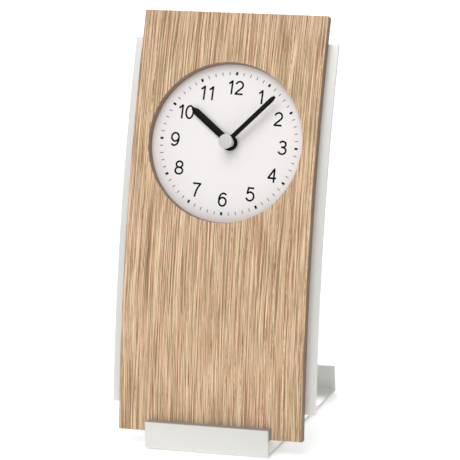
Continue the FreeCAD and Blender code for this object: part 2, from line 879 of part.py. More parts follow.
def minute_arbor():
    """The tube that carries the minute hand, with the cannon pinion and a flange for the centre wheel."""
    shoulder = hand_thickness - minute_hand_front
    pieces = [
        rod(arbor_end_radius, arbor_front, shoulder),
        rod(arbor_tube_radius, shoulder, arbor_rear),
        rod(arbor_flange_radius, arbor_flange_front, arbor_rear),
        gear(cannon_teeth, setting_module, first_tooth, cannon_depths, centre_axis),
    ]
    return fuse_all(pieces).cut(rod(pivot_radius + running, arbor_bore_front, arbor_rear + beyond))


def hour_wheel():
    bearing = math.radians(motion_bearing) + math.pi
    phase = mesh_phase(bearing, first_tooth, motion_pinion_teeth, hour_teeth)
    pieces = [
        gear(hour_teeth, hour_module, phase, hour_wheel_depths, centre_axis),
        rod(hour_tube_radius, hour_tube_front, hour_wheel_depths[1]),
        rod(hour_shoulder_radius, hour_shoulder_front, hour_wheel_depths[0]),
    ]
    bore = rod(arbor_tube_radius + running, hour_tube_front - beyond, hour_wheel_depths[1] + beyond)
    return fuse_all(pieces).cut(bore)


def motion_wheel():
    phase = mesh_phase(math.radians(motion_bearing), first_tooth, cannon_teeth, motion_teeth)
    pieces = [
        gear(motion_teeth, setting_module, phase, motion_wheel_depths, motion_axis),
        gear(motion_pinion_teeth, hour_module, first_tooth, motion_pinion_depths, motion_axis),
        rod(motion_boss_radius, motion_pinion_depths[1], motion_boss_rear, *motion_axis),
        rod(motion_stud_radius, stud_front, motion_stud_rear, *motion_axis),
    ]
    return fuse_all(pieces)


def setting_shaft():
    motion_phase = mesh_phase(math.radians(motion_bearing), first_tooth, cannon_teeth, motion_teeth)
    phase = mesh_phase(math.radians(setting_bearing), motion_phase, motion_teeth, setting_teeth)
    pieces = [
        gear(setting_teeth, setting_module, phase, cannon_depths, setting_axis),
        rod(setting_stud_radius, stud_front, cannon_depths[0], *setting_axis),
        rod(setting_shaft_radius, cannon_depths[1], knob_front, *setting_axis),
        rod(setting_end_radius, knob_front, setting_end_rear, *setting_axis),
    ]
    return fuse_all(pieces)


def setting_knob():
    x, z = setting_axis
    knob = rod(knob_radius, knob_front, knob_rear, x, z)
    reach = knob_radius + grip_radius / 3
    for index in range(knob_grips):
        angle = 2 * math.pi * index / knob_grips
        place = (x + reach * math.cos(angle), z + reach * math.sin(angle))
        knob = knob.cut(rod(grip_radius, knob_front - beyond, knob_rear + beyond, *place))
    return knob.cut(rod(setting_end_radius, knob_front - beyond, setting_end_rear, x, z))


# ---------------------------------------------------------------- going train

def arbor(axis):
    """A wheel's arbor between the middle plate and the cover, with a thinner pivot at each end."""
    pivots = rod(pivot_radius, wheel_pivot_front, wheel_pivot_rear, *axis)
    return [rod(wheel_arbor_radius, wheel_arbor_front, wheel_arbor_rear, *axis), pivots]


def centre_wheel():
    phase = mesh_phase(math.radians(third_bearing) + math.pi, first_tooth, third_pinion_teeth, centre_teeth)
    wheel = gear(centre_teeth, centre_module, phase, centre_wheel_depths, centre_axis)
    bore = rod(arbor_tube_radius + running, centre_wheel_depths[0] - beyond, centre_wheel_depths[1] + beyond)
    return wheel.cut(bore)


def clutch_spring():
    """The dished washer that presses the centre wheel, so that the hands can be set against it."""
    return tube(clutch_radius, arbor_tube_radius, *clutch_depths)


def third_wheel():
    wheel = gear(third_teeth, third_module, first_tooth, third_wheel_depths, third_axis)
    pinion = gear(third_pinion_teeth, centre_module, first_tooth, third_pinion_depths, third_axis)
    return fuse_all(arbor(third_axis) + [wheel, pinion])


def seconds_wheel():
    bearing = math.radians(third_bearing) + math.pi
    pinion_phase = mesh_phase(bearing, first_tooth, third_teeth, seconds_pinion_teeth)
    pieces = [
        rod(pivot_radius, seconds_pivot_front, wheel_pivot_rear),
        rod(seconds_arbor_radius, seconds_arbor_front, wheel_arbor_rear),
        gear(seconds_pinion_teeth, third_module, pinion_phase, seconds_pinion_depths, centre_axis),
        gear(seconds_teeth, seconds_module, first_tooth, seconds_wheel_depths, centre_axis),
    ]
    return fuse_all(pieces)


def step_wheel():
    pinion_phase = mesh_phase(math.radians(step_bearing), first_tooth, seconds_teeth, step_pinion_teeth)
    pinion = gear(step_pinion_teeth, seconds_module, pinion_phase, step_pinion_depths, step_axis)
    wheel = gear(step_teeth, step_module, first_tooth, step_wheel_depths, step_axis)
    return fuse_all(arbor(step_axis) + [pinion, wheel])


def rotor_pinion():
    phase = mesh_phase(math.radians(rotor_bearing), first_tooth, step_teeth, rotor_pinion_teeth)
    pinion = gear(rotor_pinion_teeth, step_module, phase, rotor_pinion_depths, rotor_axis)
    return fuse_all(arbor(rotor_axis) + [pinion])


def rotor_magnet():
    return tube(magnet_radius, wheel_arbor_radius, *magnet_depths, *rotor_axis)


# ---------------------------------------------------------------- nodes

standing = {
    "foot_bracket": foot_bracket,
    "foot_pads": foot_pads,
    "lip_spacer": lip_spacer,
    "lip_screws": lip_screws,
    "lip_washers": lip_washers,
    "wood_front_panel": wood_panel,
    "back_plate": back_plate,
    "panel_screws": panel_screws,
    "dial_disc": dial_disc,
    "rear_strut": strut,
    "strut_foot_screws": strut_foot_screws,
    "strut_foot_nuts": strut_foot_nuts,
    "strut_top_screws": strut_top_screws,
}

on_the_shaft = {
    "movement_case": movement_case,
    "movement_gasket": movement_gasket,
    "movement_cover": movement_cover,
    "cover_screws": cover_screws,
    "movement_screws": movement_screws,
    "mid_plate": mid_plate,
    "stator": stator,
    "stator_screws": stator_screws,
    "coil_core": coil_core,
    "coil_bobbin": coil_bobbin,
    "coil_winding": coil_winding,
    "circuit_board": circuit_board,
    "driver_chip": driver_chip,
    "quartz_crystal": quartz_crystal,
    "battery_contact_positive": contact_positive,
    "battery_contact_negative": contact_negative,
    "battery": battery,
    "hour_hand": hour_hand,
    "minute_hand": minute_hand,
    "hand_cap": hand_cap,
    "minute_arbor": minute_arbor,
    "clutch_spring": clutch_spring,
    "hour_wheel": hour_wheel,
    "motion_wheel": motion_wheel,
    "setting_shaft": setting_shaft,
    "setting_knob": setting_knob,
    "centre_wheel": centre_wheel,
    "third_wheel": third_wheel,
    "seconds_wheel": seconds_wheel,
    "step_wheel": step_wheel,
    "rotor_pinion": rotor_pinion,
    "rotor_magnet": rotor_magnet,
}

for node, make in standing.items():
    write(make(), node)

for node, make in on_the_shaft.items():
    write(on_shaft(make()), node)
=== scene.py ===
"""Mantel clock: a bowed oak front on a white metal plate, in a bent metal foot, with a quartz movement.

Metres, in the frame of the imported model: +Z is up, the dial faces -Y and the origin is under the middle of
the foot. Flat pieces of the front are drawn as (x, distance up the front, depth behind it) and then bent onto
its bow.
"""

import math

import bmesh
import bpy
from mathutils import Matrix, Vector


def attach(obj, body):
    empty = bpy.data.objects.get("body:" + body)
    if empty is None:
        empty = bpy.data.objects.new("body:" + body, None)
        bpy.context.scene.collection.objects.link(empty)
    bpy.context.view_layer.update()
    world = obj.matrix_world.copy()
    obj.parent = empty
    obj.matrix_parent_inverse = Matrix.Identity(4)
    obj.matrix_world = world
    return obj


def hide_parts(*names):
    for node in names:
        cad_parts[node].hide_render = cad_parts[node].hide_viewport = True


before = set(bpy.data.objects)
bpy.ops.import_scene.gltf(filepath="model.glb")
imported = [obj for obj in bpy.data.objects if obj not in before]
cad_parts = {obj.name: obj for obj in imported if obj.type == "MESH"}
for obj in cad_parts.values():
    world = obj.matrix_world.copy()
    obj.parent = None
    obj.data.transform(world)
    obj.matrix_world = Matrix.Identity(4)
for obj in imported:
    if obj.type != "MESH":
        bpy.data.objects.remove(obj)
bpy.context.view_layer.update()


# ------------------------------------------------------------------------------------------------------------
# Foot. One strip of 1.5 mm aluminium with a low lip bent up in front and a flange behind, its edges broken
# and its surface lacquered satin white. Two countersunk holes take the screws of the strut from below.

sheet_thickness = 0.0015
bend_radius = 0.0006
pad_thickness = 0.0006
foot_length = 0.127
foot_width = 0.074
lip_height = 0.0155
lip_lean = math.radians(5.7)
flange_height = 0.016
strut_screw_x = 0.012
strut_screw_y = 0.018
countersink_radius = 0.0028
countersink_depth = 0.0013
foot_hole_radius = 0.0015
hole_overrun = 0.001
strip_edge = 0.00025


def srgb(red, green, blue):
    """A colour given as seen on a display, as the scene-linear colour that a shader takes."""
    channels = []
    for value in (red, green, blue):
        share = value / 255
        channels.append(share / 12.92 if share <= 0.04045 else ((share + 0.055) / 1.055) ** 2.4)
    return (*channels, 1.0)


def add(tree, kind, feeds=None, **settings):
    """Puts one node in a tree. A feed is a value for an input, or the output socket that drives it."""
    node = tree.nodes.new(kind)
    for name, value in settings.items():
        setattr(node, name, value)
    for name, value in (feeds or {}).items():
        if isinstance(value, bpy.types.NodeSocket):
            tree.links.new(value, node.inputs[name])
        else:
            node.inputs[name].default_value = value
    return node


def new_group(name, kind, inputs, outputs=(("Geometry", "NodeSocketGeometry"),)):
    """An empty node group with the named sockets, and its two end nodes."""
    group = bpy.data.node_groups.new(name, kind)
    for label, socket_type, value in inputs:
        socket = group.interface.new_socket(name=label, in_out="INPUT", socket_type=socket_type)
        if value is not None:
            socket.default_value = value
    for label, socket_type in outputs:
        group.interface.new_socket(name=label, in_out="OUTPUT", socket_type=socket_type)
    return group, group.nodes.new("NodeGroupInput").outputs, group.nodes.new("NodeGroupOutput").inputs


def fine_surface_group():
    """Uneven tone, uneven gloss and a fine relief, which every made surface here has in its own measure."""
    inputs = [
        ("Colour", "NodeSocketColor", None),
        ("Tone Spread", "NodeSocketFloat", 0.05),
        ("Patches per metre", "NodeSocketFloat", 30.0),
        ("Grain", "NodeSocketVector", None),
        ("Roughness", "NodeSocketFloat", 0.5),
        ("Gloss Spread", "NodeSocketFloat", 0.1),
    ]
    outputs = [("Colour", "NodeSocketColor"), ("Roughness", "NodeSocketFloat"), ("Height", "NodeSocketFloat")]
    group, given, result = new_group("fine_surface", "ShaderNodeTree", inputs, outputs)
    place = add(group, "ShaderNodeTexCoord").outputs["Object"]
    patches = add(group, "ShaderNodeTexNoise",
                  {"Vector": place, "Scale": given["Patches per metre"], "Detail": 3.0})
    stretched = add(group, "ShaderNodeVectorMath", {0: place, 1: given["Grain"]}, operation="MULTIPLY")
    grain = add(group, "ShaderNodeTexNoise", {"Vector": stretched.outputs[0], "Scale": 1.0, "Detail": 2.0})
    mixed = add(group, "ShaderNodeMath", {0: patches.outputs["Fac"], 1: grain.outputs["Fac"]},
                operation="ADD")
    centred = add(group, "ShaderNodeMath", {0: mixed.outputs[0], 1: 1.0}, operation="SUBTRACT").outputs[0]
    tone = add(group, "ShaderNodeMath", {0: centred, 1: given["Tone Spread"], 2: 1.0},
               operation="MULTIPLY_ADD")
    toned = add(group, "ShaderNodeVectorMath", {0: given["Colour"], "Scale": tone.outputs[0]},
                operation="SCALE")
    gloss = add(group, "ShaderNodeMath", {0: centred, 1: given["Gloss Spread"], 2: given["Roughness"]},
                operation="MULTIPLY_ADD", use_clamp=True)
    group.links.new(toned.outputs[0], result["Colour"])
    group.links.new(gloss.outputs[0], result["Roughness"])
    group.links.new(grain.outputs["Fac"], result["Height"])
    return group


fine_surface = fine_surface_group()


def finish(name, colour, roughness, tone=0.06, patches=30.0, grain=(3000, 3000, 3000), gloss=0.12,
           relief=0.02, **shader_values):
    """A material on the fine surface: relief is the depth of its grain in millimetres."""
    material = bpy.data.materials.new(name)
    material.use_nodes = True
    tree = material.node_tree
    shader = tree.nodes["Principled BSDF"]
    feeds = {"Colour": colour, "Tone Spread": tone, "Patches per metre": patches, "Grain": grain,
             "Roughness": roughness, "Gloss Spread": gloss}
    surface = tree.nodes.new("ShaderNodeGroup")
    surface.node_tree = fine_surface
    for label, value in feeds.items():
        surface.inputs[label].default_value = value
    bump = add(tree, "ShaderNodeBump", {"Height": surface.outputs["Height"], "Distance": relief / 1000})
    tree.links.new(surface.outputs["Colour"], shader.inputs["Base Color"])
    tree.links.new(surface.outputs["Roughness"], shader.inputs["Roughness"])
    tree.links.new(bump.outputs["Normal"], shader.inputs["Normal"])
    for label, value in shader_values.items():
        shader.inputs[label.replace("_", " ")].default_value = value
    return material


def dress(material, *nodes):
    """Gives a finish to pieces that keep the shape they have in the frame."""
    for node in nodes:
        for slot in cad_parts[node].material_slots:
            slot.material = material


def mesh_piece(name, vertices, faces, material):
    """A mesh object with outward faces."""
    mesh = bpy.data.meshes.new(name)
    mesh.from_pydata([tuple(vertex) for vertex in vertices], [], faces)
    form = bmesh.new()
    form.from_mesh(mesh)
    bmesh.ops.recalc_face_normals(form, faces=form.faces)
    form.to_mesh(mesh)
    form.free()
    piece = bpy.data.objects.new(name, mesh)
    bpy.context.collection.objects.link(piece)
    piece.data.materials.append(material)
    return piece


def settle(source, body, replaced=(), crease=math.radians(32)):
    """Turns a piece and its modifiers into a plain smooth mesh, and puts it in its place in the clock."""
    cutters = [modifier.object for modifier in source.modifiers if modifier.type == "BOOLEAN"]
    depsgraph = bpy.context.evaluated_depsgraph_get()
    mesh = bpy.data.meshes.new_from_object(source.evaluated_get(depsgraph))
    name = source.name
    for used in (source, *cutters):
        bpy.data.objects.remove(used)
    mesh.name = name
    mesh.shade_smooth()
    mesh.set_sharp_from_angle(angle=crease)
    piece = bpy.data.objects.new(name, mesh)
    bpy.context.collection.objects.link(piece)
    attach(piece, body)
    if replaced:
        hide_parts(*replaced)
    return piece


def strip_sections(path):
    """Pairs of outer and inner points (y, z) along a bent sheet, its metal on the inside of the bends."""
    points = [Vector(point) for point in path]
    runs = [(end - start).normalized() for start, end in zip(points, points[1:])]
    inward = 1 if runs[0].cross(runs[1]) > 0 else -1
    normals = [Vector((-run.y, run.x)) * inward for run in runs]
    sections = [(points[0], points[0] + normals[0] * sheet_thickness)]
    outer_radius = bend_radius + sheet_thickness
    bend_steps = 6
    for corner, before, after in zip(points[1:-1], normals, normals[1:]):
        centre = corner + (before + after) * (outer_radius / (1 + before.dot(after)))
        for step in range(bend_steps + 1):
            normal = before.slerp(after, step / bend_steps)
            sections.append((centre - normal * outer_radius, centre - normal * bend_radius))
    sections.append((points[-1], points[-1] + normals[-1] * sheet_thickness))
    return sections


def break_edges(piece, width, segments=3, sharper_than=math.radians(50)):
    """Rounds the edges of a piece that turn by more than an angle."""
    bevel = piece.modifiers.new("broken edges", "BEVEL")
    bevel.width = width
    bevel.segments = segments
    bevel.limit_method = "ANGLE"
    bevel.angle_limit = sharper_than


def bent_strip(name, path, width, material):
    """A bent sheet of constant width with its edges broken."""
    sections = strip_sections(path)
    points = [point for section in sections for point in section]
    vertices = [(x, *point) for point in points for x in (-width / 2, width / 2)]
    last = len(vertices) - 4
    faces = [(0, 1, 3, 2)]
    for first in range(0, last, 4):
        for side, next_side in ((0, 1), (1, 3), (3, 2), (2, 0)):
            faces.append((first + side, first + next_side, first + next_side + 4, first + side + 4))
    faces.append((last, last + 1, last + 3, last + 2))
    strip = mesh_piece(name, vertices, faces, material)
    break_edges(strip, strip_edge)
    return strip


def turned(name, profile, start, axis, material, around=48):
    """A body turned on a lathe, from a profile of (distance along the axis, radius)."""
    turn = Vector((0, 0, 1)).rotation_difference(Vector(axis)).to_matrix()
    vertices = []
    rings = []
    for along, radius in profile:
        count = around if radius > 0 else 1
        rings.append(range(len(vertices), len(vertices) + count))
        for index in range(count):
            angle = 2 * math.pi * index / around
            local = Vector((radius * math.cos(angle), radius * math.sin(angle), along))
            vertices.append(Vector(start) + turn @ local)
    faces = []
    for ring, next_ring in zip(rings, rings[1:]):
        for index in range(around):
            corners = [ring[index % len(ring)], ring[(index + 1) % len(ring)],
                       next_ring[(index + 1) % len(next_ring)], next_ring[index % len(next_ring)]]
            faces.append(list(dict.fromkeys(corners)))
    return mesh_piece(name, vertices, faces, material)


def drill(piece, profile, starts, axis):
    """Cuts the same turned shape out of a piece at each start. The cutters go when the piece settles."""
    for start in starts:
        cut = piece.modifiers.new("hole", "BOOLEAN")
        cut.operation = "DIFFERENCE"
        cut.solver = "EXACT"
        cut.object = turned("cutter", profile, start, axis, piece.data.materials[0])


white_metal = finish("satin_white_metal", srgb(230, 230, 226), 0.42, tone=0.03, grain=(9000, 900, 900),
                     relief=0.004, Metallic=0.25)

foot_path = [
    (-foot_length / 2 + lip_height * math.tan(lip_lean), pad_thickness + lip_height),
    (-foot_length / 2, pad_thickness),
    (foot_length / 2, pad_thickness),
    (foot_length / 2, pad_thickness + flange_height),
]
countersink = [
    (-hole_overrun, 0), (-hole_overrun, countersink_radius), (0, countersink_radius),
    (countersink_depth, foot_hole_radius), (2 * sheet_thickness, foot_hole_radius), (2 * sheet_thickness, 0),
]
foot = bent_strip("foot_strip", foot_path, foot_width, white_metal)
hole_starts = [(x, strut_screw_y, pad_thickness) for x in (-strut_screw_x, strut_screw_x)]
drill(foot, countersink, hole_starts, (0, 0, 1))
settle(foot, "clock_body", ["foot_bracket"])


# ------------------------------------------------------------------------------------------------------------
# Felt pads. Four discs punched from grey felt and glued under the corners of the foot, so that it neither
# slips nor scratches. Their cut edges are soft.

pad_radius = 0.004
pad_inset = 0.008
pad_edge = 0.00015

felt = finish("grey_felt", srgb(95, 95, 96), 0.95, tone=0.5, patches=900.0, grain=(5000, 5000, 5000),
              relief=0.12, Sheen_Weight=0.3)


def pads_tree():
    """One soft-edged disc at each corner of a rectangle."""
    inputs = [
        ("Pad", "NodeSocketGeometry", None),
        ("Width", "NodeSocketFloat", 0.05),
        ("Length", "NodeSocketFloat", 0.1),
        ("Material", "NodeSocketMaterial", None),
    ]
    group, given, result = new_group("corner_pads", "GeometryNodeTree", inputs)
    grid = add(group, "GeometryNodeMeshGrid", {"Size X": given["Width"], "Size Y": given["Length"],
                                               "Vertices X": 2, "Vertices Y": 2})
    pads = add(group, "GeometryNodeInstanceOnPoints",
               {"Points": grid.outputs["Mesh"], "Instance": given["Pad"]})
    real = add(group, "GeometryNodeRealizeInstances", {"Geometry": pads.outputs["Instances"]})
    made = add(group, "GeometryNodeSetMaterial", {"Geometry": real.outputs[0], "Material": given["Material"]})
    group.links.new(made.outputs[0], result["Geometry"])
    return group


def grow(piece, tree, values):
    """Adds a geometry tree to a piece and sets its named inputs by their sockets' identifiers."""
    modifier = piece.modifiers.new(tree.name, "NODES")
    modifier.node_group = tree
    for socket in tree.interface.items_tree:
        if socket.in_out == "INPUT" and socket.name in values:
            modifier[socket.identifier] = values[socket.name]


pad_profile = [
    (0, 0), (0, pad_radius - pad_edge), (pad_edge, pad_radius),
    (pad_thickness - pad_edge, pad_radius), (pad_thickness, pad_radius - pad_edge), (pad_thickness, 0),
]
pads = turned("felt_feet", pad_profile, (0, 0, 0), (0, 0, 1), felt)
grow(pads, pads_tree(),
     {"Width": foot_width - 2 * pad_inset, "Length": foot_length - 2 * pad_inset, "Material": felt})
settle(pads, "clock_body", ["foot_pads"])


# ------------------------------------------------------------------------------------------------------------
# Back plate. A sheet of 2 mm aluminium, lacquered like the foot, wider than the wood and shorter, so that a
# strip of it shows on each side. It is rolled to the bow of the wood, and six screws through it hold the two
# together.

plate_width = 0.122
plate_low = 0.015
plate_high = 0.227
plate_rounding = 0.0002
plate_steps = 144
face_spans = 20
shaft_centre = (0.00225, 0.1673)
shaft_hole_radius = 0.004

# The wood, the plate and the dial all follow arcs about one line behind the clock, so one tree bends each of
# them from its flat form, and keeps its flat position for the patterns of its finish.
bow_radius = 0.8
bow_lean = math.radians(8.64)
wood_thickness = 0.006
plate_thickness = 0.002
panel_setback = 0.0062
panel_lift = 0.0088
bow_y = -foot_length / 2 + panel_setback + bow_radius * math.cos(bow_lean)
bow_z = pad_thickness + panel_lift - bow_radius * math.sin(bow_lean)

bow_inputs = [
    ("Bow Radius", "NodeSocketFloat", bow_radius),
    ("Lean", "NodeSocketFloat", bow_lean),
    ("Axis Y", "NodeSocketFloat", bow_y),
    ("Axis Z", "NodeSocketFloat", bow_z),
    ("Material", "NodeSocketMaterial", None),
]


def bend_group():
    """Bends flat geometry (x, distance up, depth behind) onto the bow and gives it its material."""
    inputs = [("Geometry", "NodeSocketGeometry", None)] + bow_inputs
    group, given, result = new_group("bend_onto_bow", "GeometryNodeTree", inputs)
    position = add(group, "GeometryNodeInputPosition").outputs[0]
    kept = add(group, "GeometryNodeStoreNamedAttribute",
               {"Geometry": given["Geometry"], "Name": "flat", "Value": position}, data_type="FLOAT_VECTOR")
    flat = add(group, "ShaderNodeSeparateXYZ", {0: position}).outputs
    turn = add(group, "ShaderNodeMath", {0: flat["Y"], 1: given["Bow Radius"]}, operation="DIVIDE").outputs[0]
    angle = add(group, "ShaderNodeMath", {0: turn, 1: given["Lean"]}, operation="ADD").outputs[0]
    reach = add(group, "ShaderNodeMath", {0: given["Bow Radius"], 1: flat["Z"]},
                operation="SUBTRACT").outputs[0]
    forward = add(group, "ShaderNodeMath", {0: angle}, operation="COSINE").outputs[0]
    upward = add(group, "ShaderNodeMath", {0: angle}, operation="SINE").outputs[0]
    ahead = add(group, "ShaderNodeMath", {0: reach, 1: forward}, operation="MULTIPLY").outputs[0]
    y = add(group, "ShaderNodeMath", {0: given["Axis Y"], 1: ahead}, operation="SUBTRACT").outputs[0]
    z = add(group, "ShaderNodeMath", {0: reach, 1: upward, 2: given["Axis Z"]},
            operation="MULTIPLY_ADD").outputs[0]
    bent = add(group, "ShaderNodeCombineXYZ", {"X": flat["X"], "Y": y, "Z": z}).outputs[0]
    moved = add(group, "GeometryNodeSetPosition", {"Geometry": kept.outputs[0], "Position": bent})
    real = add(group, "GeometryNodeRealizeInstances", {"Geometry": moved.outputs[0]})
    made = add(group, "GeometryNodeSetMaterial", {"Geometry": real.outputs[0], "Material": given["Material"]})
    group.links.new(made.outputs[0], result["Geometry"])
    return group


bend_onto_bow = bend_group()

def rectangle_edge(half_width, low, high, centre):
    """The outline of a board, as a function of a direction from its opening and an inset from its edge."""
    least = 1e-9

    def point(angle, inset):
        limit = high - centre[1] if math.sin(angle) > 0 else centre[1] - low
        side = half_width - centre[0] if math.cos(angle) > 0 else half_width + centre[0]
        reach = min(side / max(abs(math.cos(angle)), least), limit / max(abs(math.sin(angle)), least))
        x = centre[0] + reach * math.cos(angle)
        up = centre[1] + reach * math.sin(angle)
        x = min(max(x, inset - half_width), half_width - inset)
        up = min(max(up, low + inset), high - inset)
        return Vector((x, up))
    return point


def circle_edge(centre, radius):
    """The same for a round outline."""
    def point(angle, inset):
        return Vector(centre) + Vector((math.cos(angle), math.sin(angle))) * (radius - inset)
    return point


def rounded_side(front, rear, rounding):
    """Inset and depth down the side of a board with both its edges rounded."""
    steps = 4
    corner = []
    for step in range(steps + 1):
        angle = math.pi / 2 * step / steps
        corner.append((rounding * (1 - math.sin(angle)), front + rounding * (1 - math.cos(angle))))
    return corner + [(inset, front + rear - depth) for inset, depth in reversed(corner)]


def face_ring(edge, opening, angles, rounding, share, depth):
    """One ring of a board's flat face, a share of the way from its opening to its edge."""
    return [(*opening(angle, -rounding).lerp(edge(angle, rounding), share), depth) for angle in angles]


def ring_piece(name, rings, material):
    """A solid with one opening, from closed rings of vertices around it, the last joined to the first."""
    count = len(rings[0])
    vertices = [vertex for ring in rings for vertex in ring]
    faces = []
    for ring in range(len(rings)):
        here = ring * count
        there = (ring + 1) % len(rings) * count
        for index in range(count):
            after = (index + 1) % count
            faces.append((here + index, here + after, there + after, there + index))
    return mesh_piece(name, vertices, faces, material)


def board(name, edge, opening, angles, front, rear, rounding, spans, material):
    """A flat board with one round opening, drawn as rings that run from the opening to the edge and back."""
    side = rounded_side(front, rear, rounding)
    rings = [[(*edge(angle, inset), depth) for angle in angles] for inset, depth in side]
    shares = [step / spans for step in range(1, spans)]
    rings += [face_ring(edge, opening, angles, rounding, 1 - share, rear) for share in shares]
    rings += [[(*opening(angle, -inset), depth) for angle in angles] for inset, depth in reversed(side)]
    rings += [face_ring(edge, opening, angles, rounding, share, front) for share in shares]
    return ring_piece(name, rings, material)


def directions(corners, centre, count):
    """Evenly spread directions from the opening, with the board's corners among them."""
    even = [2 * math.pi * index / count for index in range(count)]
    exact = [math.atan2(y - centre[1], x - centre[0]) % (2 * math.pi) for x, y in corners]
    kept = [angle for angle in even if all(abs(angle - corner) > math.pi / count for corner in exact)]
    return sorted(kept + exact)


plate_corners = [(x, up) for x in (-plate_width / 2, plate_width / 2) for up in (plate_low, plate_high)]
plate_angles = directions(plate_corners, shaft_centre, plate_steps)
plate = board("plate", rectangle_edge(plate_width / 2, plate_low, plate_high, shaft_centre),
              circle_edge(shaft_centre, shaft_hole_radius), plate_angles, wood_thickness,
              wood_thickness + plate_thickness, plate_rounding, face_spans, white_metal)
grow(plate, bend_onto_bow, {"Material": white_metal})
settle(plate, "clock_body", ["back_plate"])


# ------------------------------------------------------------------------------------------------------------
# Front. A 6 mm board veneered in brushed oak with straight upright grain, bent to the bow. Its edges are
# eased and stained brown, and a round opening is cut through it for the dial.

panel_width = 0.11
panel_length = 0.242
dial_centre = (0.0006, 0.1672)
opening_radius = 0.046
wood_rounding = 0.0004
wood_steps = 192

# Spacings are in features per metre across the board, up it and through it. Each layer of fibres has a spacing
# and a weight, and each tone has its place on the scale of the fibres and a colour.
fibre_layers = [((1000, 8, 1000), 0.25), ((2000, 9, 2000), 1.1), ((2900, 40, 2900), 1.9),
                ((3200, 300, 3200), 0.9)]
fibre_tones = [(0.26, (151, 120, 89)), (0.4, (192, 163, 130)), (0.5, (217, 188, 155)), (0.6, (234, 206, 174)),
               (0.74, (251, 225, 195))]
hue_spacing = (420, 20, 420)
hue_tones = [(0.35, (251, 253, 243)), (0.68, (255, 241, 237))]
blush_spacing = (210, 32, 210)
blush_colour = (206, 150, 120)
pore_spacing = (1700, 9, 1700)
pore_colour = (122, 94, 70)
stain_colour = (152, 130, 110)
sway_spacing = (30, 11, 30)
sway_reach = 0.002
slide_spacing = (1400, 0, 1400)
slide_reach = 0.12


def stretched(tree, vector, scale):
    """A vector multiplied by its own scale along each direction."""
    return add(tree, "ShaderNodeVectorMath", {0: vector, 1: scale}, operation="MULTIPLY").outputs[0]


def noise(tree, vector, spacing, detail):
    """A noise with its own spacing along each direction."""
    return add(tree, "ShaderNodeTexNoise", {"Vector": stretched(tree, vector, spacing), "Scale": 1.0,
                                            "Detail": detail}).outputs["Fac"]


def colour_ramp(tree, value, tones):
    """A colour for each value, from tones given as (position, colour as seen)."""
    ramp = add(tree, "ShaderNodeValToRGB", {"Fac": value})
    elements = ramp.color_ramp.elements
    for element, (position, colour) in zip((elements[0], elements[1]), (tones[0], tones[-1])):
        element.position = position
        element.color = srgb(*colour)
    for position, colour in tones[1:-1]:
        elements.new(position).color = srgb(*colour)
    return ramp.outputs["Color"]


def laid_over(tree, base, pattern, low, high, share, colour):
    """Lays a colour over a base where a pattern rises from low to high, up to a share of the whole."""
    mask = add(tree, "ShaderNodeMapRange",
               {"Value": pattern, "From Min": low, "From Max": high, "To Max": share})
    return add(tree, "ShaderNodeMix", {"Factor": mask.outputs[0], 6: base, 7: srgb(*colour)},
               data_type="RGBA").outputs[2]


def grain_place(tree, flat):
    """Where a point lies in the grain, which sways a little, with each fibre slid along by its own reach."""
    sway = add(tree, "ShaderNodeTexNoise",
               {"Vector": stretched(tree, flat, sway_spacing), "Scale": 1.0, "Detail": 1.0}).outputs["Color"]
    centred = add(tree, "ShaderNodeVectorMath", {0: sway, 1: (0.5, 0.5, 0.5)},
                  operation="SUBTRACT").outputs[0]
    aside = stretched(tree, centred, (sway_reach, 0, 0))
    slide = add(tree, "ShaderNodeCombineXYZ", {"Y": noise(tree, flat, slide_spacing, 0.0)}).outputs[0]
    along = add(tree, "ShaderNodeVectorMath", {0: slide, "Scale": slide_reach}, operation="SCALE").outputs[0]
    swayed = add(tree, "ShaderNodeVectorMath", {0: flat, 1: aside}, operation="ADD").outputs[0]
    return add(tree, "ShaderNodeVectorMath", {0: swayed, 1: along}, operation="ADD").outputs[0]


def fibres(tree, place):
    """The layers of fibres added up, each by its weight, about a middle of one half."""
    grain = 0.5
    for spacing, weight in fibre_layers:
        raised = add(tree, "ShaderNodeMath", {0: noise(tree, place, spacing, 1.0), 1: weight, 2: grain},
                     operation="MULTIPLY_ADD").outputs[0]
        grain = add(tree, "ShaderNodeMath", {0: raised, 1: 0.5 * weight}, operation="SUBTRACT").outputs[0]
    return grain


def oak_material():
    """Brushed oak: light and dark fibres, dark pores, broad soft hues, reddish patches and stained sides."""
    material = bpy.data.materials.new("brushed_oak")
    material.use_nodes = True
    tree = material.node_tree
    shader = tree.nodes["Principled BSDF"]
    flat = add(tree, "ShaderNodeAttribute", attribute_name="flat").outputs["Vector"]
    place = grain_place(tree, flat)
    grain = fibres(tree, place)
    tones = colour_ramp(tree, grain, fibre_tones)
    hues = colour_ramp(tree, noise(tree, place, hue_spacing, 1.0), hue_tones)
    tinted = add(tree, "ShaderNodeMix", {"Factor": 1.0, 6: tones, 7: hues},
                 data_type="RGBA", blend_type="MULTIPLY").outputs[2]
    blush = noise(tree, place, blush_spacing, 1.0)
    blushed = laid_over(tree, tinted, blush, low=0.6, high=0.78, share=0.35, colour=blush_colour)
    pores = noise(tree, place, pore_spacing, 0.0)
    pored = laid_over(tree, blushed, pores, low=0.63, high=0.7, share=0.6, colour=pore_colour)
    depth = add(tree, "ShaderNodeSeparateXYZ", {0: flat}).outputs["Z"]
    stained = laid_over(tree, pored, depth, low=0.00015, high=0.0006, share=1.0, colour=stain_colour)
    gloss = add(tree, "ShaderNodeMapRange", {"Value": grain, "To Min": 0.8, "To Max": 0.55})
    bump = add(tree, "ShaderNodeBump", {"Height": grain, "Distance": 0.0003, "Strength": 0.5})
    tree.links.new(stained, shader.inputs["Base Color"])
    tree.links.new(gloss.outputs[0], shader.inputs["Roughness"])
    tree.links.new(bump.outputs["Normal"], shader.inputs["Normal"])
    shader.inputs["Specular IOR Level"].default_value = 0.25
    return material


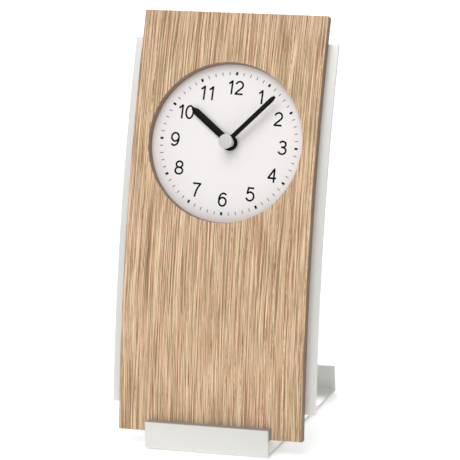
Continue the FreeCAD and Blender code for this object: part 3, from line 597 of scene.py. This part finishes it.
oak = oak_material()
wood_corners = [(x, up) for x in (-panel_width / 2, panel_width / 2) for up in (0, panel_length)]
wood_angles = directions(wood_corners, dial_centre, wood_steps)
wood = board("oak_front", rectangle_edge(panel_width / 2, 0, panel_length, dial_centre),
             circle_edge(dial_centre, opening_radius), wood_angles, 0, wood_thickness, wood_rounding,
             face_spans, oak)
grow(wood, bend_onto_bow, {"Material": oak})
settle(wood, "clock_body", ["wood_front_panel"])


# ------------------------------------------------------------------------------------------------------------
# Lip spacer. A grey moulded bar that fills the foot's lip and is hollowed at the back to the bow of the
# wood. Two screws from behind the wood bite into it.

spacer_drop = 0.0002
spacer_edge = 0.0002
spacer_steps = 6
spacer_hole_reach = 0.0033
lip_screw_x = 0.028
lip_screw_up = 0.0034
screw_hole_radius = 0.00145

grey_plastic = finish("grey_bar", srgb(150, 151, 149), 0.6, tone=0.05, relief=0.02)


def bow_point(up, depth):
    """The point (y, z) at a distance up the front and a depth behind it."""
    angle = bow_lean + up / bow_radius
    reach = bow_radius - depth
    return bow_y - reach * math.cos(angle), bow_z + reach * math.sin(angle)


def bow_rearward(up):
    """The direction straight back through the front at a distance up it."""
    angle = bow_lean + up / bow_radius
    return 0, math.cos(angle), -math.sin(angle)


def prism(name, section, width, edge, material):
    """A bar of constant section (y, z) with its edges rounded."""
    count = len(section)
    vertices = [(x, y, z) for x in (-width / 2, width / 2) for y, z in section]
    faces = [tuple(range(count)), tuple(range(count, 2 * count))]
    for index in range(count):
        after = (index + 1) % count
        faces.append((index, after, after + count, index + count))
    bar = mesh_piece(name, vertices, faces, material)
    break_edges(bar, edge, sharper_than=math.radians(30))
    return bar


def plain_hole(radius, reach):
    """A straight hole for drill, from its start to a reach either way."""
    return [(-reach, 0), (-reach, radius), (reach, radius), (reach, 0)]


spacer_top = pad_thickness + lip_height - spacer_drop
spacer_up = bow_radius * (math.asin((spacer_top - bow_z) / bow_radius) - bow_lean)
lip_inner_y = -foot_length / 2 + sheet_thickness * math.cos(lip_lean)
lip_inner_z = pad_thickness - sheet_thickness * math.sin(lip_lean)
spacer_rear = [bow_point(spacer_up * step / spacer_steps, 0) for step in range(spacer_steps + 1)]
spacer_front = [(lip_inner_y + (z - lip_inner_z) * math.tan(lip_lean), z)
                for _, z in (spacer_rear[-1], spacer_rear[0])]
spacer = prism("spacer_bar", spacer_rear + spacer_front, foot_width, spacer_edge, grey_plastic)
lip_hole_starts = [(x, *bow_point(lip_screw_up, 0)) for x in (-lip_screw_x, lip_screw_x)]
drill(spacer, plain_hole(screw_hole_radius, spacer_hole_reach), lip_hole_starts, bow_rearward(lip_screw_up))
settle(spacer, "clock_body", ["lip_spacer"])


# ------------------------------------------------------------------------------------------------------------
# Strut. A strip of the same white sheet, bent twice, that ties the front to the foot from behind. Its lower
# end is screwed to the foot and its upper end to the back of the plate.

strut_width = 0.04
strut_foot_rear = 0.026
strut_foot_front = 0.006
strut_top_low = 0.066
strut_top_high = 0.084
strut_screw_up = 0.077
strut_gap = 0.00006
strut_hole_radius = 0.0016
strut_hole_reach = 0.004

strut_depth = wood_thickness + plate_thickness + strut_gap
strut_floor = pad_thickness + sheet_thickness
strut_path = [(strut_foot_rear, strut_floor), (strut_foot_front, strut_floor),
              bow_point(strut_top_low, strut_depth), bow_point(strut_top_high, strut_depth)]
strut = bent_strip("strut_strip", strut_path, strut_width, white_metal)
strut_hole = plain_hole(strut_hole_radius, strut_hole_reach)
foot_hole_starts = [(x, strut_screw_y, strut_floor) for x in (-strut_screw_x, strut_screw_x)]
top_hole_starts = [(x, *bow_point(strut_screw_up, strut_depth)) for x in (-strut_screw_x, strut_screw_x)]
drill(strut, strut_hole, foot_hole_starts, (0, 0, 1))
drill(strut, strut_hole, top_hole_starts, bow_rearward(strut_screw_up))
settle(strut, "clock_body", ["rear_strut"])


# ------------------------------------------------------------------------------------------------------------
# Fixings. Zinc-plated steel. Two screws with washers hold the front to the spacer and six hold the plate to
# the wood. The strut has two screws with nuts at the foot and two in threads of the plate.

steel = finish("zinc_plated_steel", srgb(196, 198, 200), 0.3, tone=0.06, grain=(2500, 2500, 2500),
               relief=0.006, Metallic=1.0)
dress(steel, "lip_screws", "lip_washers", "panel_screws", "strut_foot_screws", "strut_foot_nuts",
      "strut_top_screws")


# ------------------------------------------------------------------------------------------------------------
# Dial. A thin white disc bonded to the plate in the opening of the wood, with a hole for the shafts of the
# hands and a satin face.

dial_thickness = 0.0004
dial_depth = wood_thickness - dial_thickness
dial_radius = 0.0457
dial_rounding = 0.00006
dial_spans = 12
dial_steps = 144

dial_white = finish("dial_white", srgb(242, 238, 237), 0.5, tone=0.015, relief=0.004)
disc_angles = [2 * math.pi * index / dial_steps for index in range(dial_steps)]
disc = board("dial", circle_edge(dial_centre, dial_radius), circle_edge(shaft_centre, shaft_hole_radius),
             disc_angles, dial_depth, wood_thickness, dial_rounding, dial_spans, dial_white)
grow(disc, bend_onto_bow, {"Material": dial_white})
settle(disc, "clock_body", ["dial_disc"])


# ------------------------------------------------------------------------------------------------------------
# Hour dashes and minute track. Printed on the disc in two inks: twelve short black dashes, and between them
# fine grey ones of the same length, one for each minute.

print_centre = (0.0011, 0.1671)
print_turn = math.radians(1.83)
ink_thickness = 0.00002
track_radius = 0.0405
dash_length = 0.0019
hour_dash_width = 0.00125
minute_dash_width = 0.00045

ink_black = finish("black_ink", srgb(9, 9, 10), 0.6, tone=0.2, relief=0.002, Specular_IOR_Level=0.1)
ink_grey = finish("grey_ink", srgb(92, 92, 94), 0.55, tone=0.1, relief=0.002)
print_inputs = [
    ("Centre", "NodeSocketVector", (*print_centre, dial_depth - ink_thickness / 2)),
    ("Turn", "NodeSocketVector", (0, 0, -print_turn)),
    ("Ink", "NodeSocketFloat", ink_thickness),
]


def printed(group, given, shape):
    """Moves flat print to its place on the dial, bends it and inks it."""
    placed = add(group, "GeometryNodeTransform",
                 {"Geometry": shape, "Translation": given["Centre"], "Rotation": given["Turn"]})
    bend = add(group, "GeometryNodeGroup", node_tree=bend_onto_bow)
    for label, _, _ in bow_inputs:
        group.links.new(given[label], bend.inputs[label])
    group.links.new(placed.outputs[0], bend.inputs["Geometry"])
    return bend.outputs["Geometry"]


def tick_tree():
    """A ring of short radial bars, with every so many of them left out."""
    inputs = [
        ("Geometry", "NodeSocketGeometry", None),
        ("Count", "NodeSocketInt", 12),
        ("Left Out", "NodeSocketInt", 0),
        ("Ring Radius", "NodeSocketFloat", 0.04),
        ("Length", "NodeSocketFloat", 0.002),
        ("Width", "NodeSocketFloat", 0.001),
    ] + print_inputs + bow_inputs
    group, given, result = new_group("dial_ticks", "GeometryNodeTree", inputs)
    ring = add(group, "GeometryNodeMeshCircle", {"Vertices": given["Count"], "Radius": given["Ring Radius"]})
    size = add(group, "ShaderNodeCombineXYZ", {"X": given["Length"], "Y": given["Width"], "Z": given["Ink"]})
    bar = add(group, "GeometryNodeMeshCube", {"Size": size.outputs[0]})
    index = add(group, "GeometryNodeInputIndex").outputs[0]
    rest = add(group, "ShaderNodeMath", {0: index, 1: given["Left Out"]}, operation="MODULO").outputs[0]
    off_hour = add(group, "FunctionNodeCompare", {"A": rest, "B": 0.5}, operation="GREATER_THAN").outputs[0]
    every = add(group, "FunctionNodeCompare", {"A": given["Left Out"], "B": 0.5},
                operation="LESS_THAN").outputs[0]
    shown = add(group, "FunctionNodeBooleanMath", {0: off_hour, 1: every}, operation="OR").outputs[0]
    position = add(group, "GeometryNodeInputPosition").outputs[0]
    place = add(group, "ShaderNodeSeparateXYZ", {0: position}).outputs
    bearing = add(group, "ShaderNodeMath", {0: place["Y"], 1: place["X"]}, operation="ARCTAN2").outputs[0]
    turn = add(group, "ShaderNodeCombineXYZ", {"Z": bearing}).outputs[0]
    bars = add(group, "GeometryNodeInstanceOnPoints", {"Points": ring.outputs["Mesh"], "Selection": shown,
                                                       "Instance": bar.outputs["Mesh"], "Rotation": turn})
    real = add(group, "GeometryNodeRealizeInstances", {"Geometry": bars.outputs["Instances"]})
    group.links.new(printed(group, given, real.outputs[0]), result["Geometry"])
    return group


dial_ticks = tick_tree()
for name, ink, slot, count, left_out, width in (
        ("hour_dashes", ink_black, "hand_black", 12, 0, hour_dash_width),
        ("minute_track", ink_grey, "grey_spacer", 60, 5, minute_dash_width)):
    ticks = mesh_piece(name, [], [], ink)
    grow(ticks, dial_ticks, {"Count": count, "Left Out": left_out, "Ring Radius": track_radius,
                             "Length": dash_length, "Width": width, "Material": ink})
    settle(ticks, "clock_body")


# ------------------------------------------------------------------------------------------------------------
# Numerals. One to twelve, upright, printed on the disc in black with strokes of one width. Each figure is
# drawn in millimetres, as centre lines about its own middle, and the sizes here are in millimetres too.

figure_half_width = 1.9
figure_half_height = 3.1
figure_end = 3.5
figure_scale = 1.17
figure_spacing = 2.5
numeral_ring = 32.4
stroke_width = 1.08
sweep_step = 12


def sweep(centre, radii, start, end):
    """Points along part of an ellipse, angles in degrees."""
    count = max(4, round(abs(end - start) / sweep_step))
    points = []
    for step in range(count + 1):
        angle = math.radians(start + (end - start) * step / count)
        points.append((centre[0] + radii[0] * math.cos(angle), centre[1] + radii[1] * math.sin(angle)))
    return points


six = [sweep((0, -1.05), (1.85, 2.05), 0, 360), sweep((0.3, -0.1), (2.15, 3.2), 50, 196)]
figures = {
    "0": [sweep((0, 0), (figure_half_width - 0.05, figure_half_height), 0, 360)],
    "1": [[(0.45, figure_end), (0.45, -figure_end)], [(-1.35, 1.75), (-0.55, 2.2), (0.15, 2.9), (0.4, 3.4)]],
    "2": [sweep((-0.05, 1.25), (1.8, 1.85), 168, -38) + [(-1.0, -2.05), (-1.75, -3.0)],
          [(-2.15, -figure_half_height), (2.0, -figure_half_height)]],
    "3": [sweep((-0.1, 1.685), (1.65, 1.415), 158, -90),
          sweep((-0.1, -1.415), (figure_half_width, 1.685), 90, -162), [(-0.75, 0.27), (0.0, 0.27)]],
    "4": [[(1.0, figure_end), (1.0, -figure_end)], [(1.0, 3.2), (-1.95, -1.35)],
          [(-2.2, -1.35), (2.15, -1.35)]],
    "5": [[(-1.45, figure_half_height), (1.75, figure_half_height)], [(-1.1, 3.3), (-1.55, 0.15)],
          sweep((-0.05, -1.0), (1.95, 2.1), 145, -160)],
    "6": six,
    "7": [[(-2.1, figure_half_height), (2.1, figure_half_height)],
          [(1.85, 3.05), (0.75, 1.5), (-0.1, -0.4), (-0.6, -2.2), (-0.75, -figure_end)]],
    "8": [sweep((0, 1.62), (1.62, 1.48), 0, 360), sweep((0, -1.48), (figure_half_width, 1.62), 0, 360)],
    "9": [[(-x, -y) for x, y in stroke] for stroke in six],
}


def numeral_curve():
    """All the strokes of the twelve numerals as one curve, centred on the dial."""
    curve = bpy.data.curves.new("numerals", "CURVE")
    curve.dimensions = "3D"
    for hour in range(1, 13):
        bearing = math.radians(90 - 30 * hour)
        text = str(hour)
        for place, figure in enumerate(text):
            offset = (2 * place - len(text) + 1) * figure_spacing
            for stroke in figures[figure]:
                spline = curve.splines.new("POLY")
                spline.points.add(len(stroke) - 1)
                for point, (x, y) in zip(spline.points, stroke):
                    across = numeral_ring * math.cos(bearing) + offset + figure_scale * x
                    up = numeral_ring * math.sin(bearing) + figure_scale * y
                    point.co = (across / 1000, up / 1000, 0, 1)
    numerals = bpy.data.objects.new("numerals", curve)
    bpy.context.collection.objects.link(numerals)
    return numerals


def stroke_tree():
    """Draws a ribbon of ink along each stroke."""
    inputs = [("Geometry", "NodeSocketGeometry", None), ("Stroke", "NodeSocketFloat", 0.001)]
    inputs += print_inputs + bow_inputs
    group, given, result = new_group("inked_strokes", "GeometryNodeTree", inputs)
    level = add(group, "GeometryNodeSetCurveNormal", {"Curve": given["Geometry"]}, mode="Z_UP")
    nib = add(group, "GeometryNodeCurvePrimitiveQuadrilateral",
              {"Width": given["Stroke"], "Height": given["Ink"]})
    ribbon = add(group, "GeometryNodeCurveToMesh",
                 {"Curve": level.outputs[0], "Profile Curve": nib.outputs[0], "Fill Caps": True})
    group.links.new(printed(group, given, ribbon.outputs[0]), result["Geometry"])
    return group


numerals = numeral_curve()
grow(numerals, stroke_tree(), {"Stroke": stroke_width / 1000, "Material": ink_black})
settle(numerals, "clock_body")


# ------------------------------------------------------------------------------------------------------------
# Movement case. A quartz movement moulded in black plastic and screwed behind the plate on a rubber gasket.
# Three screws hold its rear cover, and the knob that sets the hands stands behind the cover.

black_plastic = finish("black_case", srgb(34, 34, 36), 0.5, tone=0.1, grain=(2600, 2600, 2600), relief=0.05)
rubber = finish("black_rubber", srgb(28, 28, 28), 0.8, tone=0.1, relief=0.02)
dress(black_plastic, "movement_case", "movement_cover", "setting_knob")
dress(rubber, "movement_gasket")
dress(steel, "cover_screws", "movement_screws")


# ------------------------------------------------------------------------------------------------------------
# Cell. One AA cell in the bay of the case: a nickel-plated can with a printed film sleeve in two colours,
# held between two contacts of nickel-plated spring steel. It slides straight out at the back.

cell_radius = 0.0071
cell_length = 0.0495
cell_low_x = -0.0253
cell_depth = 0.0116
cell_up = -0.0193
nub_radius = 0.00275
nub_height = 0.001
nub_edge = 0.0002
nub_root = 0.0003
dish_depth = 0.0003
dish_radius = 0.0042
dish_rim = 0.0046
base_radius = 0.0064
base_round = 0.0004
shoulder = 0.0006
top_radius = 0.006
top_drop = 0.0001
cell_steps = 72
sleeve_start = 0.0007
sleeve_change = 0.0345
sleeve_end = 0.0489
sleeve_wall = 0.00012
sleeve_edge = 0.00008
sleeve_dip = 0.00003

jacket = finish("cell_jacket", srgb(34, 38, 46), 0.35, tone=0.05, relief=0.002, Coat_Weight=0.4)
jacket_end = finish("cell_jacket_end", srgb(176, 128, 80), 0.3, tone=0.05, relief=0.002, Metallic=0.8)
spring_steel = finish("nickel_spring_steel", srgb(205, 200, 188), 0.25, tone=0.05, relief=0.004, Metallic=1.0)
dress(spring_steel, "battery_contact_positive", "battery_contact_negative")


shaft_lean = bow_lean + shaft_centre[1] / bow_radius
shaft_place = (Matrix.Translation((shaft_centre[0], *bow_point(shaft_centre[1], dial_depth)))
               @ Matrix.Rotation(-shaft_lean, 4, "X"))


def about_shaft(x, depth, up):
    """A point given from where the shaft of the hands meets the dial."""
    return tuple(shaft_place @ Vector((x, depth, up)))


can_radius = cell_radius - sleeve_wall
nub_end = cell_length + nub_height
can_profile = [
    (dish_depth, 0), (dish_depth, dish_radius), (0, dish_rim), (0, base_radius),
    (base_round / 2, base_radius + base_round), (shoulder, can_radius),
    (cell_length - shoulder, can_radius), (cell_length - top_drop, top_radius + shoulder),
    (cell_length, top_radius), (cell_length, nub_radius + nub_root), (cell_length + nub_root, nub_radius),
    (nub_end - nub_edge, nub_radius), (nub_end, nub_radius - nub_edge), (nub_end, 0),
]
cell_start = about_shaft(cell_low_x, cell_depth, cell_up)
can = turned("cell_can", can_profile, cell_start, (1, 0, 0), spring_steel, cell_steps)
settle(can, "battery_cell", ["battery"])
for name, start, end, material in (("cell_sleeve", sleeve_start, sleeve_change, jacket),
                                   ("cell_sleeve_end", sleeve_change, sleeve_end, jacket_end)):
    sleeve_profile = [
        (start, can_radius), (start, cell_radius - sleeve_dip), (start + sleeve_edge, cell_radius),
        (end - sleeve_edge, cell_radius), (end, cell_radius - sleeve_dip), (end, can_radius),
    ]
    sleeve = turned(name, sleeve_profile, cell_start, (1, 0, 0), material, cell_steps)
    settle(sleeve, "battery_cell")


# ------------------------------------------------------------------------------------------------------------
# Plate and wheels. The inner plate and the wheels down to the hands are moulded in white acetal. The arbor
# that carries the minute hand is turned from brass, and a sprung steel clutch drives it.

white_plastic = finish("white_acetal", srgb(232, 230, 222), 0.4, tone=0.03, relief=0.01,
                       Subsurface_Weight=0.1)
brass = finish("brass", srgb(212, 178, 98), 0.25, tone=0.06, relief=0.004, Metallic=1.0)
dress(white_plastic, "mid_plate", "hour_wheel", "motion_wheel", "setting_shaft", "centre_wheel",
      "third_wheel", "seconds_wheel", "step_wheel")
dress(brass, "minute_arbor")
dress(spring_steel, "clutch_spring")


# ------------------------------------------------------------------------------------------------------------
# Stepping motor. A soft iron stator and core, screwed together around a small magnet on its pinion, and a
# moulded bobbin wound with enamelled copper wire, whose outer layer shows as a row of close turns.

winding_turns = 44
winding_radius = 0.0032
winding_build = 0.001
winding_groove = 0.00012
winding_length = 0.0128
winding_low_x = -0.0154
winding_depth = 0.0134
winding_up = 0.0223
winding_crease = math.radians(20)

iron = finish("soft_iron", srgb(140, 140, 142), 0.35, tone=0.08, relief=0.006, Metallic=1.0)
copper = finish("enamelled_copper", srgb(184, 100, 52), 0.3, tone=0.1, relief=0.02, Metallic=1.0)
magnet_grey = finish("sintered_magnet", srgb(84, 84, 88), 0.45, tone=0.12, relief=0.01, Metallic=0.6)
dress(iron, "stator", "coil_core")
dress(steel, "stator_screws")
dress(white_plastic, "rotor_pinion", "coil_bobbin")
dress(magnet_grey, "rotor_magnet")

pitch = winding_length / winding_turns
groove_radius = winding_radius - winding_groove
winding_profile = [(0, winding_radius - winding_build)]
for turn in range(winding_turns):
    along = turn * pitch
    winding_profile += [(along, groove_radius), (along + 0.25 * pitch, winding_radius),
                        (along + 0.75 * pitch, winding_radius)]
winding_profile += [(winding_length, groove_radius), (winding_length, winding_radius - winding_build)]
winding_start = about_shaft(winding_low_x, winding_depth, winding_up)
winding = turned("coil_wraps", winding_profile, winding_start, (1, 0, 0), copper)
settle(winding, "clock_body", ["coil_winding"], winding_crease)


# ------------------------------------------------------------------------------------------------------------
# Circuit board. A small board with a green solder mask, a blob of black resin over the driver chip, and the
# quartz crystal in its steel can.

board_green = finish("board_green", srgb(34, 92, 56), 0.4, tone=0.15, patches=700.0, relief=0.01)
chip_black = finish("resin_black", srgb(20, 20, 20), 0.3, tone=0.1, relief=0.02)
dress(board_green, "circuit_board")
dress(chip_black, "driver_chip")
dress(steel, "quartz_crystal")


# ------------------------------------------------------------------------------------------------------------
# Hands. Flat stampings of matt black aluminium with tapered tips, pressed by their round hubs on the shafts
# of the movement. The hour hand is the wider and the shorter, and lies nearer the dial.

hand_thickness = 0.0005
hand_edge = 0.00007
hand_steps = 96
tip_taper = 0.8
tip_share = 0.45

hour_length = 0.0306
hour_width = 0.004
hour_hub_radius = 0.0045
hour_hole_radius = 0.00255
hour_angle = math.radians(308.1)
hour_front = -0.0015

minute_length = 0.0377
minute_width = 0.0027
minute_hub_radius = 0.0026
minute_hole_radius = 0.00125
minute_angle = math.radians(44.2)
minute_front = -0.0065

hand_black = finish("hand_black", srgb(9, 9, 10), 0.6, tone=0.2, relief=0.004, Specular_IOR_Level=0.15)


def hand_reach(length, width, hub_radius):
    """How far a hand's outline lies from its axis, by direction, and the directions of its corners."""
    half = width / 2
    tip = tip_share * half
    taper = length - tip_taper * width
    least = 1e-6

    def reach(angle):
        across, along = abs(math.sin(angle)), math.cos(angle)
        if along <= 0:
            return hub_radius
        side = half / max(across, least)
        cross = half * (length - taper) + taper * (half - tip)
        slope = cross / (across * (length - taper) + along * (half - tip))
        return max(hub_radius, min(side, slope, length / along))

    corners = [math.atan2(tip, length), math.atan2(half, taper), math.asin(half / hub_radius)]
    return reach, corners + [-corner for corner in corners]


def stamped_hand(name, length, width, hub_radius, hole_radius, turn, front):
    """A flat hand with a round hub and hole, its edges broken."""
    reach, corners = hand_reach(length, width, hub_radius)
    closest = 0.02
    even = [math.pi * (2 * index / hand_steps - 1) for index in range(hand_steps)]
    kept = [angle for angle in even if all(abs(angle - corner) > closest for corner in corners)]
    angles = sorted(kept + corners)
    blade = [reach(angle) for angle in angles]
    hole = [hole_radius] * len(angles)
    rear = front + hand_thickness
    rings = []
    for radii, depth in ((blade, front), (blade, rear), (hole, rear), (hole, front)):
        rings.append([about_shaft(radius * math.sin(angle + turn), depth, radius * math.cos(angle + turn))
                      for radius, angle in zip(radii, angles)])
    hand = ring_piece(name, rings, hand_black)
    break_edges(hand, hand_edge, segments=2)
    return hand


hour_blade = stamped_hand("hour_blade", hour_length, hour_width, hour_hub_radius, hour_hole_radius,
                          hour_angle, hour_front)
settle(hour_blade, "hour_work", ["hour_hand"])
minute_blade = stamped_hand("minute_blade", minute_length, minute_width, minute_hub_radius,
                            minute_hole_radius, minute_angle, minute_front)
settle(minute_blade, "minute_work", ["minute_hand"])


# ------------------------------------------------------------------------------------------------------------
# Hand cap. A turned button with a slightly domed, silver-painted face, pressed over the end of the minute
# arbor by the short stem behind it.

cap_front = 0.0095
cap_rear = 0.0081
cap_radius = 0.00415
stem_rear = 0.0065
stem_radius = 0.0022
bore_front = 0.0084
bore_radius = 0.00125
cap_steps = 72

cap_silver = finish("cap_silver", srgb(206, 207, 205), 0.4, tone=0.05, grain=(900, 900, 900), relief=0.01,
                    Metallic=0.35)

# The edges of the button are rounded, and its face rises by 0.05 mm to the middle.
cap_profile = [
    (bore_front, 0), (bore_front, bore_radius), (stem_rear, bore_radius), (stem_rear, stem_radius),
    (cap_rear, stem_radius), (cap_rear, cap_radius - 0.0002), (cap_rear + 0.00006, cap_radius - 0.00005),
    (cap_rear + 0.00018, cap_radius), (cap_front - 0.0004, cap_radius),
    (cap_front - 0.00022, cap_radius - 0.00006), (cap_front - 0.0001, cap_radius - 0.00021),
    (cap_front - 0.00005, cap_radius - 0.00045),
    (cap_front - 0.00004, 0.0034), (cap_front - 0.00002, 0.0024), (cap_front, 0.0012), (cap_front, 0),
]
cap_axis = shaft_place.to_3x3() @ Vector((0, -1, 0))
cap = turned("turned_cap", cap_profile, about_shaft(0, 0, 0), cap_axis, cap_silver, cap_steps)
settle(cap, "minute_work", ["hand_cap"])


# ------------------------------------------------------------------------------------------------------------
# Floor. A wide pale sheet that the clock stands on, lit a little by itself so that it runs into the white
# behind the clock.

floor_reach = 6

pale_floor = finish("pale_floor", srgb(248, 248, 248), 0.9, tone=0.01, patches=3.0, relief=0.0,
                    Emission_Color=(1, 1, 1, 1), Emission_Strength=0.3)
floor_corners = [(floor_reach * x, floor_reach * y, 0) for x, y in ((-1, -1), (1, -1), (1, 1), (-1, 1))]
mesh_piece("floor", floor_corners, [(0, 1, 2, 3)], pale_floor)


# ------------------------------------------------------------------------------------------------------------
# Light. A white studio, a large soft light above and in front, and a smaller one behind that lights the
# back.


def studio_world():
    """A plain white studio, brightest overhead and on the left, and pure white where it is looked at."""
    world = bpy.data.worlds.new("studio")
    world.use_nodes = True
    tree = world.node_tree
    lit = tree.nodes["Background"]
    heading = add(tree, "ShaderNodeTexCoord").outputs["Generated"]
    parts = add(tree, "ShaderNodeSeparateXYZ", {0: heading}).outputs
    height = add(tree, "ShaderNodeMapRange", {"Value": parts["Z"], "From Min": -0.2, "From Max": 0.9,
                                              "To Min": 0.4, "To Max": 0.7})
    side = add(tree, "ShaderNodeMapRange", {"Value": parts["X"], "From Min": -0.5, "From Max": 0.6,
                                            "To Min": 1.2, "To Max": 0.4})
    light = add(tree, "ShaderNodeMath", {0: height.outputs[0], 1: side.outputs[0]}, operation="MULTIPLY")
    tree.links.new(light.outputs[0], lit.inputs["Strength"])
    seen = add(tree, "ShaderNodeBackground", {"Color": (1, 1, 1, 1), "Strength": 1.0})
    camera_ray = add(tree, "ShaderNodeLightPath").outputs["Is Camera Ray"]
    lit.inputs["Color"].default_value = (1, 1, 1, 1)
    mixed = add(tree, "ShaderNodeMixShader", {0: camera_ray, 1: lit.outputs[0], 2: seen.outputs[0]})
    tree.links.new(mixed.outputs[0], tree.nodes["World Output"].inputs["Surface"])
    return world


bpy.context.scene.world = studio_world()
bpy.context.scene.view_settings.view_transform = "Standard"


def softbox(name, place, target, size, power):
    """A square area light that faces the target."""
    light = bpy.data.lights.new(name, "AREA")
    light.size = size
    light.energy = power
    lamp = bpy.data.objects.new(name, light)
    lamp.location = place
    lamp.rotation_euler = (Vector(target) - Vector(place)).to_track_quat("-Z", "Y").to_euler()
    bpy.context.collection.objects.link(lamp)


softbox("key", place=(0.0, -0.95, 1.6), target=(0, 0, 0.15), size=1.3, power=14.2)
softbox("rear fill", place=(-0.5, 1.6, 1.4), target=(0, 0, 0.12), size=0.8, power=15)


# ------------------------------------------------------------------------------------------------------------
# Camera. A long lens from two metres in front, a little to the right of the clock and above it.

camera_aim = Vector((0.00983, -0.03711, 0.12557))
camera_azimuth = math.radians(19.733)
camera_elevation = math.radians(15.189)
camera_roll = math.radians(-2.06)
camera_distance = 2.0069
camera_lens = 278.6
camera_film = 36.0
camera_end = 20.0

camera_data = bpy.data.cameras.new("camera")
camera_data.lens = camera_lens
camera_data.sensor_width = camera_film
camera_data.clip_end = camera_end
camera = bpy.data.objects.new("camera", camera_data)
bpy.context.collection.objects.link(camera)
towards = Vector((math.sin(camera_azimuth) * math.cos(camera_elevation),
                  -math.cos(camera_azimuth) * math.cos(camera_elevation), math.sin(camera_elevation)))
facing = (-towards).to_track_quat("-Z", "Y").to_matrix().to_4x4()
camera.matrix_world = (Matrix.Translation(camera_aim + towards * camera_distance) @ facing
                       @ Matrix.Rotation(camera_roll, 4, "Z"))
bpy.context.scene.camera = camera
